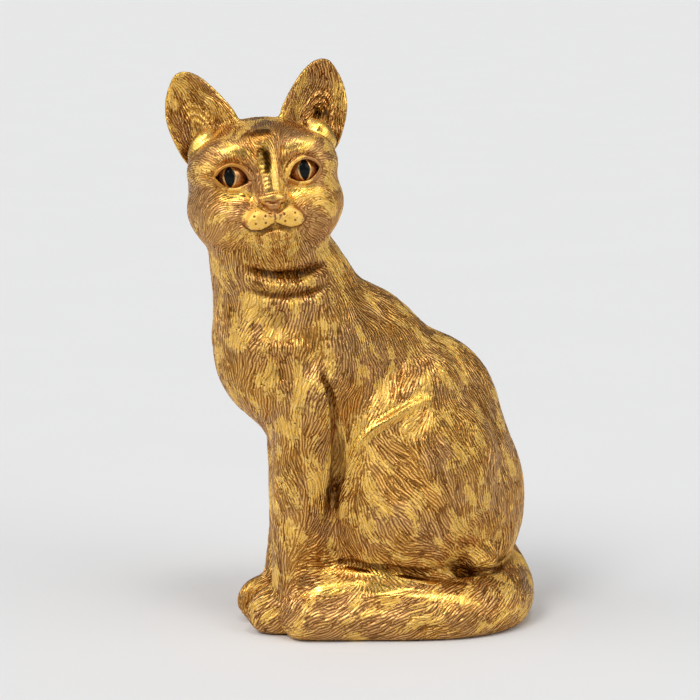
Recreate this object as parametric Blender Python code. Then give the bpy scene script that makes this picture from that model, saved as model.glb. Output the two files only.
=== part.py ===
"""Seated cat figurine: slip-cast pieces luted together, set eyes, a vent plug and felt pads.

Lengths in the tables are millimetres, and MM turns them into metres. The cat faces -Y, its own
left side is +X, and its head looks over its left shoulder.
"""

import math

import bmesh
import bpy
from mathutils import Matrix, Vector

MM = 0.001

# Casting
WALL = 5.0                      # slip-cast wall
LUTE = 0.3                      # clearance where one piece is luted or set into another
BASE_Z = 0.5                    # underside of the casting, which the pads lift off the table
NECK_TOP = 182.0                # rim of the neck, inside the head
BODY_BLEND = 60                 # smoothing passes that run the torso's masses together
BODY_SWELL = 0.6                # what those passes take off its fullest places

# Head
HEAD_AT = Vector((4.0, -53.0, 198.0))
HEAD_TURN = (-4.0, -5.0, 72.5)  # nod, lean and turn of the head, in degrees

# Eyes, in the head's own frame
EYE_AT = Vector((15.0, -17.0, 5.6))
EYE_RADIUS = 7.2
PUPIL_RADII = (2.0, 2.9, 4.6)
PUPIL_DEPTH = 5.2               # centre of the pupil, in front of the centre of the eye

# Vent, plug and felt pads
VENT_AT = (0.0, 10.0)
VENT_RADIUS = 8.0
VENT_RECESS_RADIUS = 11.0
VENT_RECESS_DEPTH = 2.0
PLUG_HEIGHT = 7.5
PAD_RADIUS = 4.0
PAD_THICKNESS = 1.6
PAD_PLACES = ((-15.0, -44.0), (6.0, -47.0), (-15.0, 30.0), (15.0, 30.0))

# Masses of the torso: centre, radii, tilt about X in degrees
CHEST = ((0, -43, 127), (28, 31, 34), -14)
RIBS = ((0, -20, 113), (30, 38, 36), 0)
LOINS = ((0, 14.5, 87), (34, 45, 42.5), 32)
WITHERS = ((0, -6, 126), (25, 34, 24), -36)
SPINE = ((0, 14, 104), (27, 44, 28), -44)
LOWER_BACK = ((0, 32, 68), (34, 40, 44), 14)
RUMP = ((0, 28, 52), (38, 43, 50), 0)
SEAT = ((0, 10, 18), (33, 47, 28), 0)
BREAST = ((4, -45, 100), (13, 9, 20), 0)
BELLY = ((0, -20.5, 40), (23.5, 21, 46), 0)
SHOULDERS = (((18.5, -36, 116), (14, 18, 27), 10), ((-18, -34, 114), (14, 18, 26), 10))
TORSO = (CHEST, RIBS, LOINS, WITHERS, SPINE, LOWER_BACK, RUMP, SEAT, BREAST, BELLY) + SHOULDERS

# Limbs: points on the centre line, each with its radius
NECK = ((3, -54, 196, 23), (3, -52, 172, 25.5), (1, -47.5, 160, 28), (0, -41, 146, 31),
        (0, -34, 125, 32))
FORELEG_RIGHT = ((-16, -33, 104, 13), (-14, -33, 84, 12.5), (-12, -33, 50, 12),
                 (-13, -35, 24, 12), (-13, -38, 10, 11.5))
FORELEG_LEFT = ((18, -38, 106, 15), (15, -39.5, 86, 14.5), (12.3, -41.5, 50, 12),
                (10.3, -41, 24, 12), (9, -41.5, 10, 12))
TAIL = ((-10, 56, 26, 14), (6, 58, 16, 14), (25, 52, 11, 14), (37, 39, 10, 14.5),
        (40, 22, 10, 14.5), (35, 3, 10, 14.5), (28, -15, 10, 14), (23, -31, 10, 13),
        (20, -42, 10, 11.5))
HIND_FOOT = ((20, -33, 17, 11), (26, -14, 18, 12), (31, 14, 18, 12))
FLANK_FOLD = ((21, -27, 76, 4), (25.5, -18, 91, 8), (26.5, 0, 103, 10), (25, 18, 111, 9))

PAW_RIGHT = ((-15, -45, 9), (10.5, 15, 11.5), 0)
PAW_LEFT = ((5, -48, 9), (11.5, 15, 11.5), 0)
THIGH = ((27, 9, 64), (20, 37, 44), -24)
HOCK = ((32, 37, 31), (7, 9, 8), 0)

# Masses of the head, in the head's own frame: centre and radii, tilt
SKULL = ((-1.2, 4, 2), (31, 30, 27), 0)
JAW = ((0, -8, -15), (21, 20, 13), 0)
FOREHEAD = ((0, -11, 13), (18, 14.5, 13), 0)
CHIN = ((0, -22.5, -22), (9.5, 8.5, 5.5), 0)
NOSE = ((0, -18, 15, 8.5), (0, -24.5, 4, 6.5), (0, -29.5, -4.5, 4.6))
THROAT = ((0, -10, -26), (17, 15, 10), 0)
CHEEK = ((17.5, -2, -9), (17, 21, 15), 0)
JOWL = ((15, -8, -17), (13, 16, 9), 0)
LOWER_CHEEK = ((18, -15, -8), (12, 9, 9), 0)
BROW = ((14, -15, 14), (12, 9, 7), 0)
MUZZLE = ((6.3, -26.5, -14.2), (7.6, 7.2, 6.2), 0)
HEAD_CORE = ((0, 6, -1), (22, 20, 21), 0)

# Ear, in the head's own frame: its rim seen from the front, and how the cup runs back from it
EAR_RIM = ((8, 22), (9, 31), (15.5, 41), (22.5, 48.5), (28.5, 51.5), (33.5, 50.5), (38, 43),
           (39.8, 34), (38.6, 25), (33, 12), (21, 8), (11, 12))
EAR_MIDDLE = Vector((24.0, 24.0))
EAR_SWING = 0.30                # how far the rim falls back towards its outer edge
EAR_RINGS = ((0.30, 9.5), (0.62, 8.0), (0.84, 4.5), (0.93, 1.2), (1.0, 2.0), (0.99, 5.0),
             (0.90, 9.0), (0.68, 12.5), (0.36, 14.5))

GOLD = (0.60, 0.36, 0.11, 1.0)
IRIS = (0.42, 0.22, 0.06, 1.0)
BLACK = (0.010, 0.010, 0.012, 1.0)
RUBBER = (0.09, 0.075, 0.06, 1.0)
FELT = (0.10, 0.06, 0.035, 1.0)


def clear_scene():
    for obj in list(bpy.data.objects):
        bpy.data.objects.remove(obj, do_unlink=True)


def material(name, colour, roughness, metallic=0.0):
    made = bpy.data.materials.new(name)
    made.use_nodes = True
    shader = made.node_tree.nodes["Principled BSDF"]
    shader.inputs["Base Color"].default_value = colour
    shader.inputs["Roughness"].default_value = roughness
    shader.inputs["Metallic"].default_value = metallic
    return made


def head_frame():
    nod, lean, yaw = (Matrix.Rotation(math.radians(angle), 4, axis)
                      for angle, axis in zip(HEAD_TURN, "XYZ"))
    return Matrix.Translation(HEAD_AT) @ yaw @ nod @ lean


def mirrored(shape):
    """The same mass or limb on the other side of the cat, or of its head."""
    if isinstance(shape[0], tuple) and len(shape[0]) == 4:
        return tuple((-x, y, z, radius) for x, y, z, radius in shape)
    (x, y, z), radii, tilt = shape
    return (-x, y, z), radii, tilt


# ------------------------------------------------------------------ meshes

def add_mass(bm, mass, frame, grow):
    centre, radii, tilt = mass
    size = Matrix.Diagonal([(radius + grow) * MM for radius in radii] + [1.0])
    place = Matrix.Translation(Vector(centre) * MM) @ Matrix.Rotation(math.radians(tilt), 4, "X")
    bmesh.ops.create_uvsphere(bm, u_segments=40, v_segments=24, radius=1.0,
                              matrix=frame @ place @ size)


def smooth_points(points, steps):
    """Catmull-Rom points through a row of points, ends included."""
    rows = [Vector(point) for point in points]
    rows = [2 * rows[0] - rows[1]] + rows + [2 * rows[-1] - rows[-2]]
    made = []
    for before, start, end, after in zip(rows, rows[1:], rows[2:], rows[3:]):
        for step in range(steps):
            t = step / steps
            made.append(0.5 * (2 * start + (end - before) * t
                               + (2 * before - 5 * start + 4 * end - after) * t * t
                               + (3 * start - before - 3 * end + after) * t ** 3))
    return made + [rows[-2]]


def add_limb(bm, limb, frame, grow):
    """A row of overlapping balls, close enough together to read as one round limb."""
    for x, y, z, radius in smooth_points(limb, 12):
        place = frame @ Matrix.Translation(Vector((x, y, z)) * MM)
        bmesh.ops.create_icosphere(bm, subdivisions=3, radius=(radius + grow) * MM, matrix=place)


def in_metres(frame):
    """The head's frame, whose place is in millimetres, for meshes in metres."""
    made = frame.copy()
    made.translation = frame.translation * MM
    return made


def new_object(name, bm, finish=None):
    mesh = bpy.data.meshes.new(name)
    bm.to_mesh(mesh)
    bm.free()
    obj = bpy.data.objects.new(name, mesh)
    bpy.context.scene.collection.objects.link(obj)
    if finish:
        mesh.materials.append(finish)
    return obj


def bake(obj):
    """Put the result of an object's modifiers into its mesh."""
    graph = bpy.context.evaluated_depsgraph_get()
    baked = bpy.data.meshes.new_from_object(obj.evaluated_get(graph))
    obj.modifiers.clear()
    old = obj.data
    obj.data = baked
    bpy.data.meshes.remove(old)


def clay(name, shapes, finish=None, frame=Matrix(), grow=0.0, voxel=2.0, blend=6, faces=1000):
    """Model one piece from overlapping masses: fuse them, soften the creases, thin the mesh."""
    bm = bmesh.new()
    for shape in shapes:
        add = add_limb if len(shape[0]) == 4 else add_mass
        add(bm, shape, in_metres(frame), grow)
    obj = new_object(name, bm, finish)
    fuse = obj.modifiers.new("Fuse", "REMESH")
    fuse.mode = "VOXEL"
    fuse.voxel_size = voxel * MM
    soften = obj.modifiers.new("Soften", "SMOOTH")
    soften.factor = 0.5
    soften.iterations = blend
    bake(obj)
    thin = obj.modifiers.new("Thin", "DECIMATE")
    thin.ratio = faces / (2 * len(obj.data.polygons))
    thin.use_collapse_triangulate = True
    bake(obj)
    return obj


def duplicate(obj):
    """A copy of a piece or cutter to cut with, because each cut uses its tool up."""
    copy = bpy.data.objects.new("cutter", obj.data.copy())
    bpy.context.scene.collection.objects.link(copy)
    return copy


def swollen(obj):
    """A copy of a piece, larger all round by the luting clearance, to cut its neighbour with."""
    copy = duplicate(obj)
    grow = copy.modifiers.new("Grow", "DISPLACE")
    grow.strength = LUTE * MM
    grow.mid_level = 0.0
    bake(copy)
    return copy


def boolean(obj, tool, operation="DIFFERENCE"):
    """Cut or join with a tool, which is used up, and keep the largest body that is left."""
    cut = obj.modifiers.new("Cut", "BOOLEAN")
    cut.operation = operation
    cut.solver = "EXACT"
    cut.object = tool
    bake(obj)
    bpy.data.objects.remove(tool, do_unlink=True)
    keep_largest(obj)


def keep_largest(obj):
    bm = bmesh.new()
    bm.from_mesh(obj.data)
    bm.verts.ensure_lookup_table()
    unseen = set(bm.verts)
    bodies = []
    while unseen:
        stack = [unseen.pop()]
        body = set(stack)
        while stack:
            for edge in stack.pop().link_edges:
                for vert in edge.verts:
                    if vert in unseen:
                        unseen.discard(vert)
                        body.add(vert)
                        stack.append(vert)
        bodies.append(body)
    largest = max(bodies, key=len)
    loose = [vert for vert in bm.verts if vert not in largest]
    bmesh.ops.delete(bm, geom=loose, context="VERTS")
    bm.to_mesh(obj.data)
    bm.free()


def cylinder(name, radius, low, high, at, finish=None, sides=32):
    bm = bmesh.new()
    middle = Vector((at[0], at[1], (low + high) / 2)) * MM
    bmesh.ops.create_cone(bm, cap_ends=True, segments=sides, radius1=radius * MM,
                          radius2=radius * MM, depth=(high - low) * MM,
                          matrix=Matrix.Translation(middle))
    return new_object(name, bm, finish)


def block(name, low, high):
    bm = bmesh.new()
    low, high = Vector(low) * MM, Vector(high) * MM
    size = Matrix.Diagonal(list(high - low) + [1.0])
    bmesh.ops.create_cube(bm, size=1.0, matrix=Matrix.Translation((low + high) / 2) @ size)
    return new_object(name, bm)


def table_cutter(top=BASE_Z):
    return block("cutter_table", (-150, -150, -60), (150, 150, top))


def shade(obj):
    obj.data.shade_smooth()
    obj.data.set_sharp_from_angle(angle=math.radians(50))


# ------------------------------------------------------------------ pieces

def build_body(finish):
    """Hollow torso and neck: open at the neck, and at the vent in its flat base."""
    neck_cut = ((-60, -120, NECK_TOP), (60, 60, 260))
    shapes = TORSO + (NECK, FLANK_FOLD, mirrored(FLANK_FOLD))
    body = clay("body_shell", shapes, finish, grow=BODY_SWELL, blend=BODY_BLEND, faces=2400)
    boolean(body, block("cutter_rim", *neck_cut))
    boolean(body, table_cutter())
    solid = swollen(body)
    core = clay("cutter_core", TORSO + (NECK,), grow=BODY_SWELL - WALL, blend=BODY_BLEND,
                faces=800)
    boolean(core, table_cutter(BASE_Z + WALL))
    boolean(body, core)
    boolean(body, cylinder("cutter_vent", VENT_RADIUS, -5, 25, VENT_AT))
    recess_top = BASE_Z + VENT_RECESS_DEPTH
    boolean(body, cylinder("cutter_recess", VENT_RECESS_RADIUS, -5, recess_top, VENT_AT))
    return body, solid


def build_head(finish, body_solid):
    """Hollow head with a socket underneath that sits down over the neck."""
    frame = head_frame()
    sides = (CHEEK, LOWER_CHEEK, JOWL, BROW, MUZZLE)
    middle = (SKULL, JAW, FOREHEAD, CHIN, THROAT, NOSE)
    shapes = middle + sides + tuple(mirrored(side) for side in sides)
    head = clay("head_shell", shapes, finish, frame, voxel=1.3, blend=8, faces=1800)
    solid = swollen(head)
    boolean(head, clay("cutter_hollow", (HEAD_CORE,), frame=frame, faces=400))
    boolean(head, body_solid)
    return head, solid


def build_ear(name, side, finish, head_solid):
    """Cupped ear: rings that follow the rim, run down inside the cup and round its back."""
    bm = bmesh.new()
    frame = in_metres(head_frame())
    rim = [Vector(point) for point in smooth_points(EAR_RIM + EAR_RIM[:1], 2)[:-1]]
    rings = []
    for scale, depth in EAR_RINGS:
        ring = []
        for point in rim:
            x, z = EAR_MIDDLE + (point - EAR_MIDDLE) * scale
            y = depth + (x - EAR_MIDDLE.x) * EAR_SWING
            ring.append(bm.verts.new(frame @ (Vector((side * x, y, z)) * MM)))
        rings.append(ring)
    for ring, following in zip(rings, rings[1:]):
        for i in range(len(ring)):
            j = (i + 1) % len(ring)
            bm.faces.new((ring[i], ring[j], following[j], following[i]))
    bm.faces.new(rings[0])
    bm.faces.new(rings[-1])
    bmesh.ops.triangulate(bm, faces=bm.faces)
    bmesh.ops.recalc_face_normals(bm, faces=bm.faces)
    ear = new_object(name, bm, finish)
    boolean(ear, duplicate(head_solid))
    return ear


def build_eye(side_name, side, iris, black, head):
    """Domed eye in a socket in the head, with its pupil set into the front of it."""
    frame = head_frame()
    eye_at = Vector((side * EYE_AT.x, EYE_AT.y, EYE_AT.z))
    pupil_at = eye_at - Vector((0, PUPIL_DEPTH, 0))
    eye = ball("eye_" + side_name, eye_at, [EYE_RADIUS] * 3, frame, iris)
    boolean(head, ball("cutter_socket", eye_at, [EYE_RADIUS + LUTE] * 3, frame))
    pupil = ball("pupil_" + side_name, pupil_at, PUPIL_RADII, frame, black, 14, 8)
    slot = [radius + LUTE for radius in PUPIL_RADII]
    boolean(eye, ball("cutter_slot", pupil_at, slot, frame, None, 14, 8))
    return eye, pupil


def ball(name, at, radii, frame, finish=None, segments=20, rings=12):
    bm = bmesh.new()
    size = Matrix.Diagonal([radius * MM for radius in radii] + [1.0])
    place = in_metres(frame) @ Matrix.Translation(at * MM) @ size
    bmesh.ops.create_uvsphere(bm, u_segments=segments, v_segments=rings, radius=1.0,
                              matrix=place)
    return new_object(name, bm, finish)


def build_limb(name, shapes, finish, neighbours, faces):
    """A luted limb: its masses, cut back to clear the pieces that it lies against."""
    limb = clay(name, shapes, finish, faces=faces)
    boolean(limb, table_cutter())
    for cutter in neighbours:
        boolean(limb, duplicate(cutter))
    return limb, swollen(limb)


def build_plug(finish):
    """Stepped plug: a flange that lies in the recess and a shank that fills the vent."""
    plug = cylinder("vent_plug", VENT_RADIUS - LUTE, BASE_Z + 0.6, PLUG_HEIGHT, VENT_AT, finish)
    flange_top = BASE_Z + VENT_RECESS_DEPTH - LUTE
    flange = cylinder("cutter_flange", VENT_RECESS_RADIUS - LUTE, BASE_Z + 0.2, flange_top, VENT_AT)
    boolean(plug, flange, "UNION")
    return plug


def build_pads(finish, wearers):
    """Felt pads, each in a shallow pocket of the piece that it is stuck to."""
    pads = []
    for number, (at, wearer) in enumerate(zip(PAD_PLACES, wearers), 1):
        pocket_top = PAD_THICKNESS + LUTE
        boolean(wearer, cylinder("cutter_pocket", PAD_RADIUS + LUTE, -5, pocket_top, at))
        pads.append(cylinder(f"felt_pad_{number}", PAD_RADIUS, 0, PAD_THICKNESS, at, finish))
    return pads


def centre_on_base(pieces):
    """Hang the pieces on an empty, so that the origin is the middle of the figure's base."""
    corners = [vert.co for piece in pieces for vert in piece.data.vertices]
    root = bpy.data.objects.new("figurine", None)
    bpy.context.scene.collection.objects.link(root)
    for axis in range(2):
        values = [corner[axis] for corner in corners]
        root.location[axis] = -(min(values) + max(values)) / 2
    for piece in pieces:
        piece.parent = root


def main():
    clear_scene()
    gilt = {name: material(name, GOLD, 0.35, 0.9) for name in
            ("gilt_body", "gilt_head", "gilt_ear", "gilt_foreleg", "gilt_haunch", "gilt_tail")}
    iris = material("eye_enamel", IRIS, 0.15, 0.6)
    black = material("pupil_enamel", BLACK, 0.08)
    rubber = material("plug_rubber", RUBBER, 0.7)
    felt = material("felt", FELT, 0.95)

    body, body_solid = build_body(gilt["gilt_body"])
    head, head_solid = build_head(gilt["gilt_head"], duplicate(body_solid))
    ears = [build_ear("ear_left", 1, gilt["gilt_ear"], head_solid),
            build_ear("ear_right", -1, gilt["gilt_ear"], head_solid)]
    eyes = [piece for name, side in (("left", 1), ("right", -1))
            for piece in build_eye(name, side, iris, black, head)]

    leg_left, leg_left_solid = build_limb("foreleg_left", (FORELEG_LEFT, PAW_LEFT),
                                          gilt["gilt_foreleg"], [body_solid], 600)
    leg_right, leg_right_solid = build_limb("foreleg_right", (FORELEG_RIGHT, PAW_RIGHT),
                                            gilt["gilt_foreleg"],
                                            [body_solid, leg_left_solid], 600)
    tail, tail_solid = build_limb("tail", (TAIL,), gilt["gilt_tail"],
                                  [body_solid, leg_left_solid], 900)
    haunch = (THIGH, HIND_FOOT, HOCK)
    haunch_left, _ = build_limb("haunch_left", haunch, gilt["gilt_haunch"],
                                [body_solid, leg_left_solid, tail_solid], 600)
    haunch_right, _ = build_limb("haunch_right", tuple(mirrored(shape) for shape in haunch),
                                 gilt["gilt_haunch"], [body_solid, leg_right_solid, tail_solid],
                                 600)
    plug = build_plug(rubber)
    pads = build_pads(felt, (leg_right, leg_left, body, body))

    pieces = [body, head, leg_left, leg_right, tail, haunch_left, haunch_right, plug]
    pieces += ears + eyes + pads
    for obj in list(bpy.data.objects):
        if obj not in pieces:
            bpy.data.objects.remove(obj, do_unlink=True)
    for piece in pieces:
        shade(piece)
    centre_on_base(pieces)


main()
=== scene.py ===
"""Looks of the seated cat figurine: carved fur relief under gold leaf, enamelled eyes, a studio.

The clay is modelled as a field of distances to blended masses, in millimetres, in the figure's
own frame: the cat faces -Y and its left side is +X. The head's masses are in the head's own
frame, which faces -Y too and is then turned over the cat's left shoulder.
"""
import math

import bpy
import numpy as np
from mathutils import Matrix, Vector


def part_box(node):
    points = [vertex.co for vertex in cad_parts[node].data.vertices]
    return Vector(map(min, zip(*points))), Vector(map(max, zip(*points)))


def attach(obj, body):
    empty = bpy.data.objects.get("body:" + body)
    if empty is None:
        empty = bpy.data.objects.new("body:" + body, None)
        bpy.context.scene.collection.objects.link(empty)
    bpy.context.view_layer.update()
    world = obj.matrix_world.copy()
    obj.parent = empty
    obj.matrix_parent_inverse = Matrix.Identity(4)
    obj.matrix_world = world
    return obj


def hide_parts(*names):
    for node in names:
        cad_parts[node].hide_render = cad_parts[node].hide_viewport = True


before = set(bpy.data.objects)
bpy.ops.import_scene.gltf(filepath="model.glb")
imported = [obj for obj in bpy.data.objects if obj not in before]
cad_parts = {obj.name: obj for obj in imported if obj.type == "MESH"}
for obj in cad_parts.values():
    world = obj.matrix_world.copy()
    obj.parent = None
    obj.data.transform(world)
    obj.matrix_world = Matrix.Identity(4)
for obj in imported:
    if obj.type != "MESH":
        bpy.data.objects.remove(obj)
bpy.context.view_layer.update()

MM = 0.001
STEP = 0.82   # clay grid, and so the edge length of the body's mesh
FAR = 12.0                      # reach of the distance field round each mass
BASE_Z = 0.5                    # underside of the casting
SIDES = (("left", 1), ("right", -1))
CORNERS = np.array([[i >> 2 & 1, i >> 1 & 1, i & 1] for i in range(8)])     # of a grid cell

# The plug is centred on the vent, which ties the figure's own frame to the CAD frame.
VENT_AT = np.array([0.0, 10.0, 0.0])
PLUG_LOW, PLUG_HIGH = (np.array(corner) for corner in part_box("vent_plug"))
SHIFT = (PLUG_LOW + PLUG_HIGH) / 2 / MM * [1, 1, 0] - VENT_AT

# Head
HEAD_AT = (4.0, -53.0, 198.0)
HEAD_YAW, HEAD_NOD, HEAD_LEAN = 72.5, -4.0, -5.0

# Eyes, in the head's frame; x is the left eye's
EYE_AT = np.array([15.0, -17.0, 5.6])
EYE_RADIUS = 7.2
LID = 1.5
OPENING_AT = (15.3, 4.5)        # middle of the line between the corners of the opening
OPENING = (7.1, 5.4, 3.6)       # half its width, and its height above and below that line
OPENING_TILT = 10.7             # degrees that the outer corner is raised
OPENING_NARROWER = {1: 1.1, -1: 1.05}
PUPIL = (2.15, 4.7)             # half the width and height of the pupil
GAZE = {1: 0.3, -1: -1.3}       # how far each pupil is off the middle of its eye

TEAR_DUCT = ((9.6, -24.6, 3.2, 1.0), (8.0, -25.6, 2.8, 0.8), (7.0, -26.2, 2.3, 0.3))

# The felt pads' middles
PADS = ((-15.0, -44.0), (6.0, -47.0), (-15.0, 30.0), (15.0, 30.0))


# ------------------------------------------------------------------ frames and shapes

def turn(axis, degrees):
    c, s = math.cos(math.radians(degrees)), math.sin(math.radians(degrees))
    return np.array({"x": [[1, 0, 0], [0, c, -s], [0, s, c]],
                     "y": [[c, 0, s], [0, 1, 0], [-s, 0, c]],
                     "z": [[c, -s, 0], [s, c, 0], [0, 0, 1]]}[axis])


class Frame:
    """A frame within the figure's: where its origin lies and how it is turned."""

    def __init__(self, at, turned):
        self.at, self.turn = np.array(at, float), turned

    def place(self, points):
        return self.at + np.array(points, float) @ self.turn.T

    def local(self, points):
        return (points - self.at) @ self.turn


BODY = Frame((0, 0, 0), np.eye(3))
HEAD = Frame(HEAD_AT, turn("z", HEAD_YAW) @ turn("x", HEAD_NOD) @ turn("y", HEAD_LEAN))


class Lump:
    """An ellipsoid of clay."""

    def __init__(self, centre, radii, tilt=0.0, where=BODY, axis="x"):
        self.centre = where.place(centre)
        self.radii = np.array(radii, float)
        self.turn = where.turn @ turn(axis, tilt)
        reach = np.sqrt(((self.turn * self.radii) ** 2).sum(1))
        self.low, self.high = self.centre - reach, self.centre + reach

    def distance(self, points):
        local = (points - self.centre) @ self.turn
        near = np.sqrt(((local / self.radii) ** 2).sum(-1))
        slope = np.sqrt(((local / self.radii ** 2) ** 2).sum(-1))
        return near * (near - 1) / np.maximum(slope, 1e-9)


class Roll:
    """A round limb: rows of x, y, z and radius, joined by a smooth curve."""

    def __init__(self, rows, where=BODY, steps=6):
        rows = np.array([[*where.place(row[:3]), row[3]] for row in rows])
        rows = np.vstack([2 * rows[0] - rows[1], rows, 2 * rows[-1] - rows[-2]])
        made = []
        for before, start, end, after in zip(rows, rows[1:], rows[2:], rows[3:]):
            for t in np.arange(steps) / steps:
                made.append(0.5 * (2 * start + (end - before) * t
                                   + (2 * before - 5 * start + 4 * end - after) * t * t
                                   + (3 * start - before - 3 * end + after) * t ** 3))
        self.rows = np.array(made + [rows[-2]])
        widest = self.rows[:, 3].max()
        self.low = self.rows[:, :3].min(0) - widest
        self.high = self.rows[:, :3].max(0) + widest

    def distance(self, points):
        nearest = np.full(len(points), 1e3)
        for start, end in zip(self.rows, self.rows[1:]):
            along = end[:3] - start[:3]
            offset = points - start[:3]
            t = np.clip(offset @ along / (along @ along), 0, 1)
            gap = np.sqrt(((offset - t[:, None] * along) ** 2).sum(-1))
            nearest = np.minimum(nearest, gap - (start[3] + t * (end[3] - start[3])))
        return nearest


class Custom:
    """A shape given by its own function of points, within a box round a centre."""

    def __init__(self, function, centre, reach, where=BODY):
        self.function, self.where = function, where
        self.low = where.place(centre) - reach
        self.high = where.place(centre) + reach

    def distance(self, points):
        return self.function(self.where.local(points))


def blend_low(a, b, width):
    """Smooth minimum: a union with its crease filled over that width."""
    if width <= 0:
        return np.minimum(a, b)
    close = np.maximum(width - np.abs(a - b), 0) / width
    return np.minimum(a, b) - close ** 3 * width / 6


def blend_high(a, b, width):
    return -blend_low(-a, -b, width)


class Clay:
    """Masses added and cut in order. Each belongs to a node of the figure."""

    def __init__(self):
        self.steps = []
        self.nodes = []

    def add(self, node, shape, width):
        if node not in self.nodes:
            self.nodes.append(node)
        self.steps.append((shape, width, node))

    def cut(self, shape, width):
        self.steps.append((shape, width, None))

    def field(self, points, owners=None):
        """Distances to the clay. owners, if given, receives the distance to each node's masses."""
        value = np.full(len(points), FAR)
        for shape, width, node in self.steps:
            near = np.all((points > shape.low - FAR) & (points < shape.high + FAR), axis=1)
            where = np.nonzero(near)[0]
            if not len(where):
                continue
            distance = shape.distance(points[where])
            if node is None:
                value[where] = blend_high(value[where], -distance, width)
            else:
                value[where] = blend_low(value[where], distance, width)
                if owners is not None:
                    row = owners[self.nodes.index(node)]
                    row[where] = np.minimum(row[where], distance)
        return value


# ------------------------------------------------------------------ the cat's masses

TAIL = ((-10, 56, 26, 14), (6, 58, 16, 14), (25, 52, 11, 14), (37, 39, 10, 14.5),
        (40, 22, 10, 14.5), (35, 3, 10, 14.5), (28, -15, 10, 14), (23, -31, 10, 13),
        (20, -42, 10, 11.5))
RIGHT_FORELEG = ((-17, -33, 108, 14), (-14, -33, 84, 12.5), (-12, -33, 50, 12),
                 (-13, -35, 24, 12), (-13, -38, 10, 11.5))
LEFT_FORELEG = ((20, -38, 112, 16), (15, -39.5, 86, 14.5), (12.3, -41.5, 50, 12),
                (10.3, -41, 24, 12), (9, -41.5, 10, 12))
HIND_FOOT = ((20, -33, 17, 11), (26, -14, 18, 12), (31, 14, 18, 12))
FLANK = ((21, -27, 76, 4), (25.5, -18, 91, 8), (26.5, 0, 103, 10), (25, 18, 111, 9))

# Creases of the left side: behind the foreleg, and above the thigh
LEG_CREASE = ((34.6, -40.5, 122, 0.8), (34.0, -34.8, 106, 1.9), (29.0, -30.6, 88, 2.6),
              (27.0, -29.6, 72, 2.6))
THIGH_CREASE = ((27.5, -29.0, 74, 1.4), (32.0, -27.4, 84, 2.2), (35.0, -23.8, 92, 2.5),
                (37.4, -17.8, 98, 2.6), (38.4, -6.2, 104.6, 2.6), (38.2, 3.0, 108.6, 2.2),
                (36.6, 12, 111.5, 1.0))
# The thin ridge that edges the thigh, below that crease
THIGH_RIDGE = ((26.2, -26.3, 73, 1.0), (30.4, -24.4, 82.5, 1.8), (32.8, -20.7, 89.2, 2.4),
               (34.6, -15.4, 94.8, 2.6), (36.2, -9.8, 98, 2.6), (36.4, -4.6, 100.6, 2.6),
               (36.2, 3.7, 104.0, 2.2), (34.2, 12.0, 106.0, 1.2), (31.0, 20.0, 107.0, 0.4))
# The crease above the hind foot, and the foot's ridge below it
FOOT_CREASE = ((23.5, -27.0, 33.5, 0.8), (30.0, -20.0, 32.8, 1.8), (37.2, -10.0, 31.6, 2.2),
               (39.0, 4.0, 28.4, 2.2), (43.5, 16.6, 25.2, 1.8), (46.0, 24.0, 23.5, 0.8))
FOOT_RIDGE = ((21.0, -34.0, 28.2, 1.6), (25.0, -25.3, 28.2, 2.6), (31.0, -16.2, 27.4, 2.8),
              (36.0, -4.4, 25.6, 2.8), (40.8, 10.0, 22.8, 2.2))


def mirrored_rows(rows, side):
    return [(side * x, y, z, radius) for x, y, z, radius in rows]


# Masses of the torso: middle, radii, tilt, and the width over which each blends
TORSO = (
    ((0, -43, 127), (28, 31, 34), -14, 0), ((0, -20, 113), (30, 38, 36), 0, 14),
    ((0, 14.5, 87), (34, 45, 42.5), 32, 14), ((0, -6, 126), (25, 34, 24), -36, 14),
    ((0, 28, 52), (38, 43, 50), 0, 14), ((0, 10, 18), (33, 47, 28), 0, 10),
)
NECK = ((3, -55, 188, 23), (3, -52, 172, 25.5), (1, -47.5, 160, 28), (0, -41, 146, 31),
        (0, -34, 125, 32))
SHOULDERS = (((18.5, -36, 116), (14, 18, 27), 10, 8), ((-18, -34, 114), (14, 18, 26), 10, 8))


def add_lumps(clay, node, rows, where=BODY):
    for centre, radii, tilt, width in rows:
        clay.add(node, Lump(centre, radii, tilt, where), width)


def model_torso(clay):
    add_lumps(clay, "body_shell", TORSO)
    clay.add("body_shell", Roll(NECK), 12)
    add_lumps(clay, "body_shell", SHOULDERS)


def model_legs(clay):
    clay.add("foreleg_right", Roll(RIGHT_FORELEG, steps=8), 6)
    clay.add("foreleg_left", Roll(LEFT_FORELEG, steps=8), 5)
    clay.add("foreleg_right", Lump((-15, -45, 9), (10.5, 15, 11.5)), 5)
    clay.add("foreleg_left", Lump((5, -48, 9), (11.5, 15, 11.5)), 5)
    for name, side in SIDES:
        clay.add("haunch_" + name, Lump((side * 27, 9, 64), (20, 37, 44), -24), 3.5)
        clay.add("haunch_" + name, Roll(mirrored_rows(HIND_FOOT, side)), 3)
    for side in (1, -1):
        clay.add("body_shell", Roll(mirrored_rows(FLANK, side), steps=8), 12)
    clay.add("body_shell", Lump((0, -20.5, 45), (26, 21, 48)), 6)
    clay.add("body_shell", Lump((4, -45, 100), (13, 9, 20)), 8)
    for name, side in SIDES:
        clay.add("haunch_" + name, Lump((side * 32, 37, 31), (7, 9, 8)), 4)
    for name, side in SIDES:
        clay.add("haunch_" + name, Roll(mirrored_rows(THIGH_RIDGE, side)), 2.0)
        clay.add("haunch_" + name, Roll(mirrored_rows(FOOT_RIDGE, side)), 3.0)
        clay.cut(Roll(mirrored_rows(FOOT_CREASE, side)), 2.0)
        clay.cut(Roll(mirrored_rows(LEG_CREASE, side)), 2.6)
        clay.cut(Roll(mirrored_rows(THIGH_CREASE, side)), 1.8)


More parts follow.
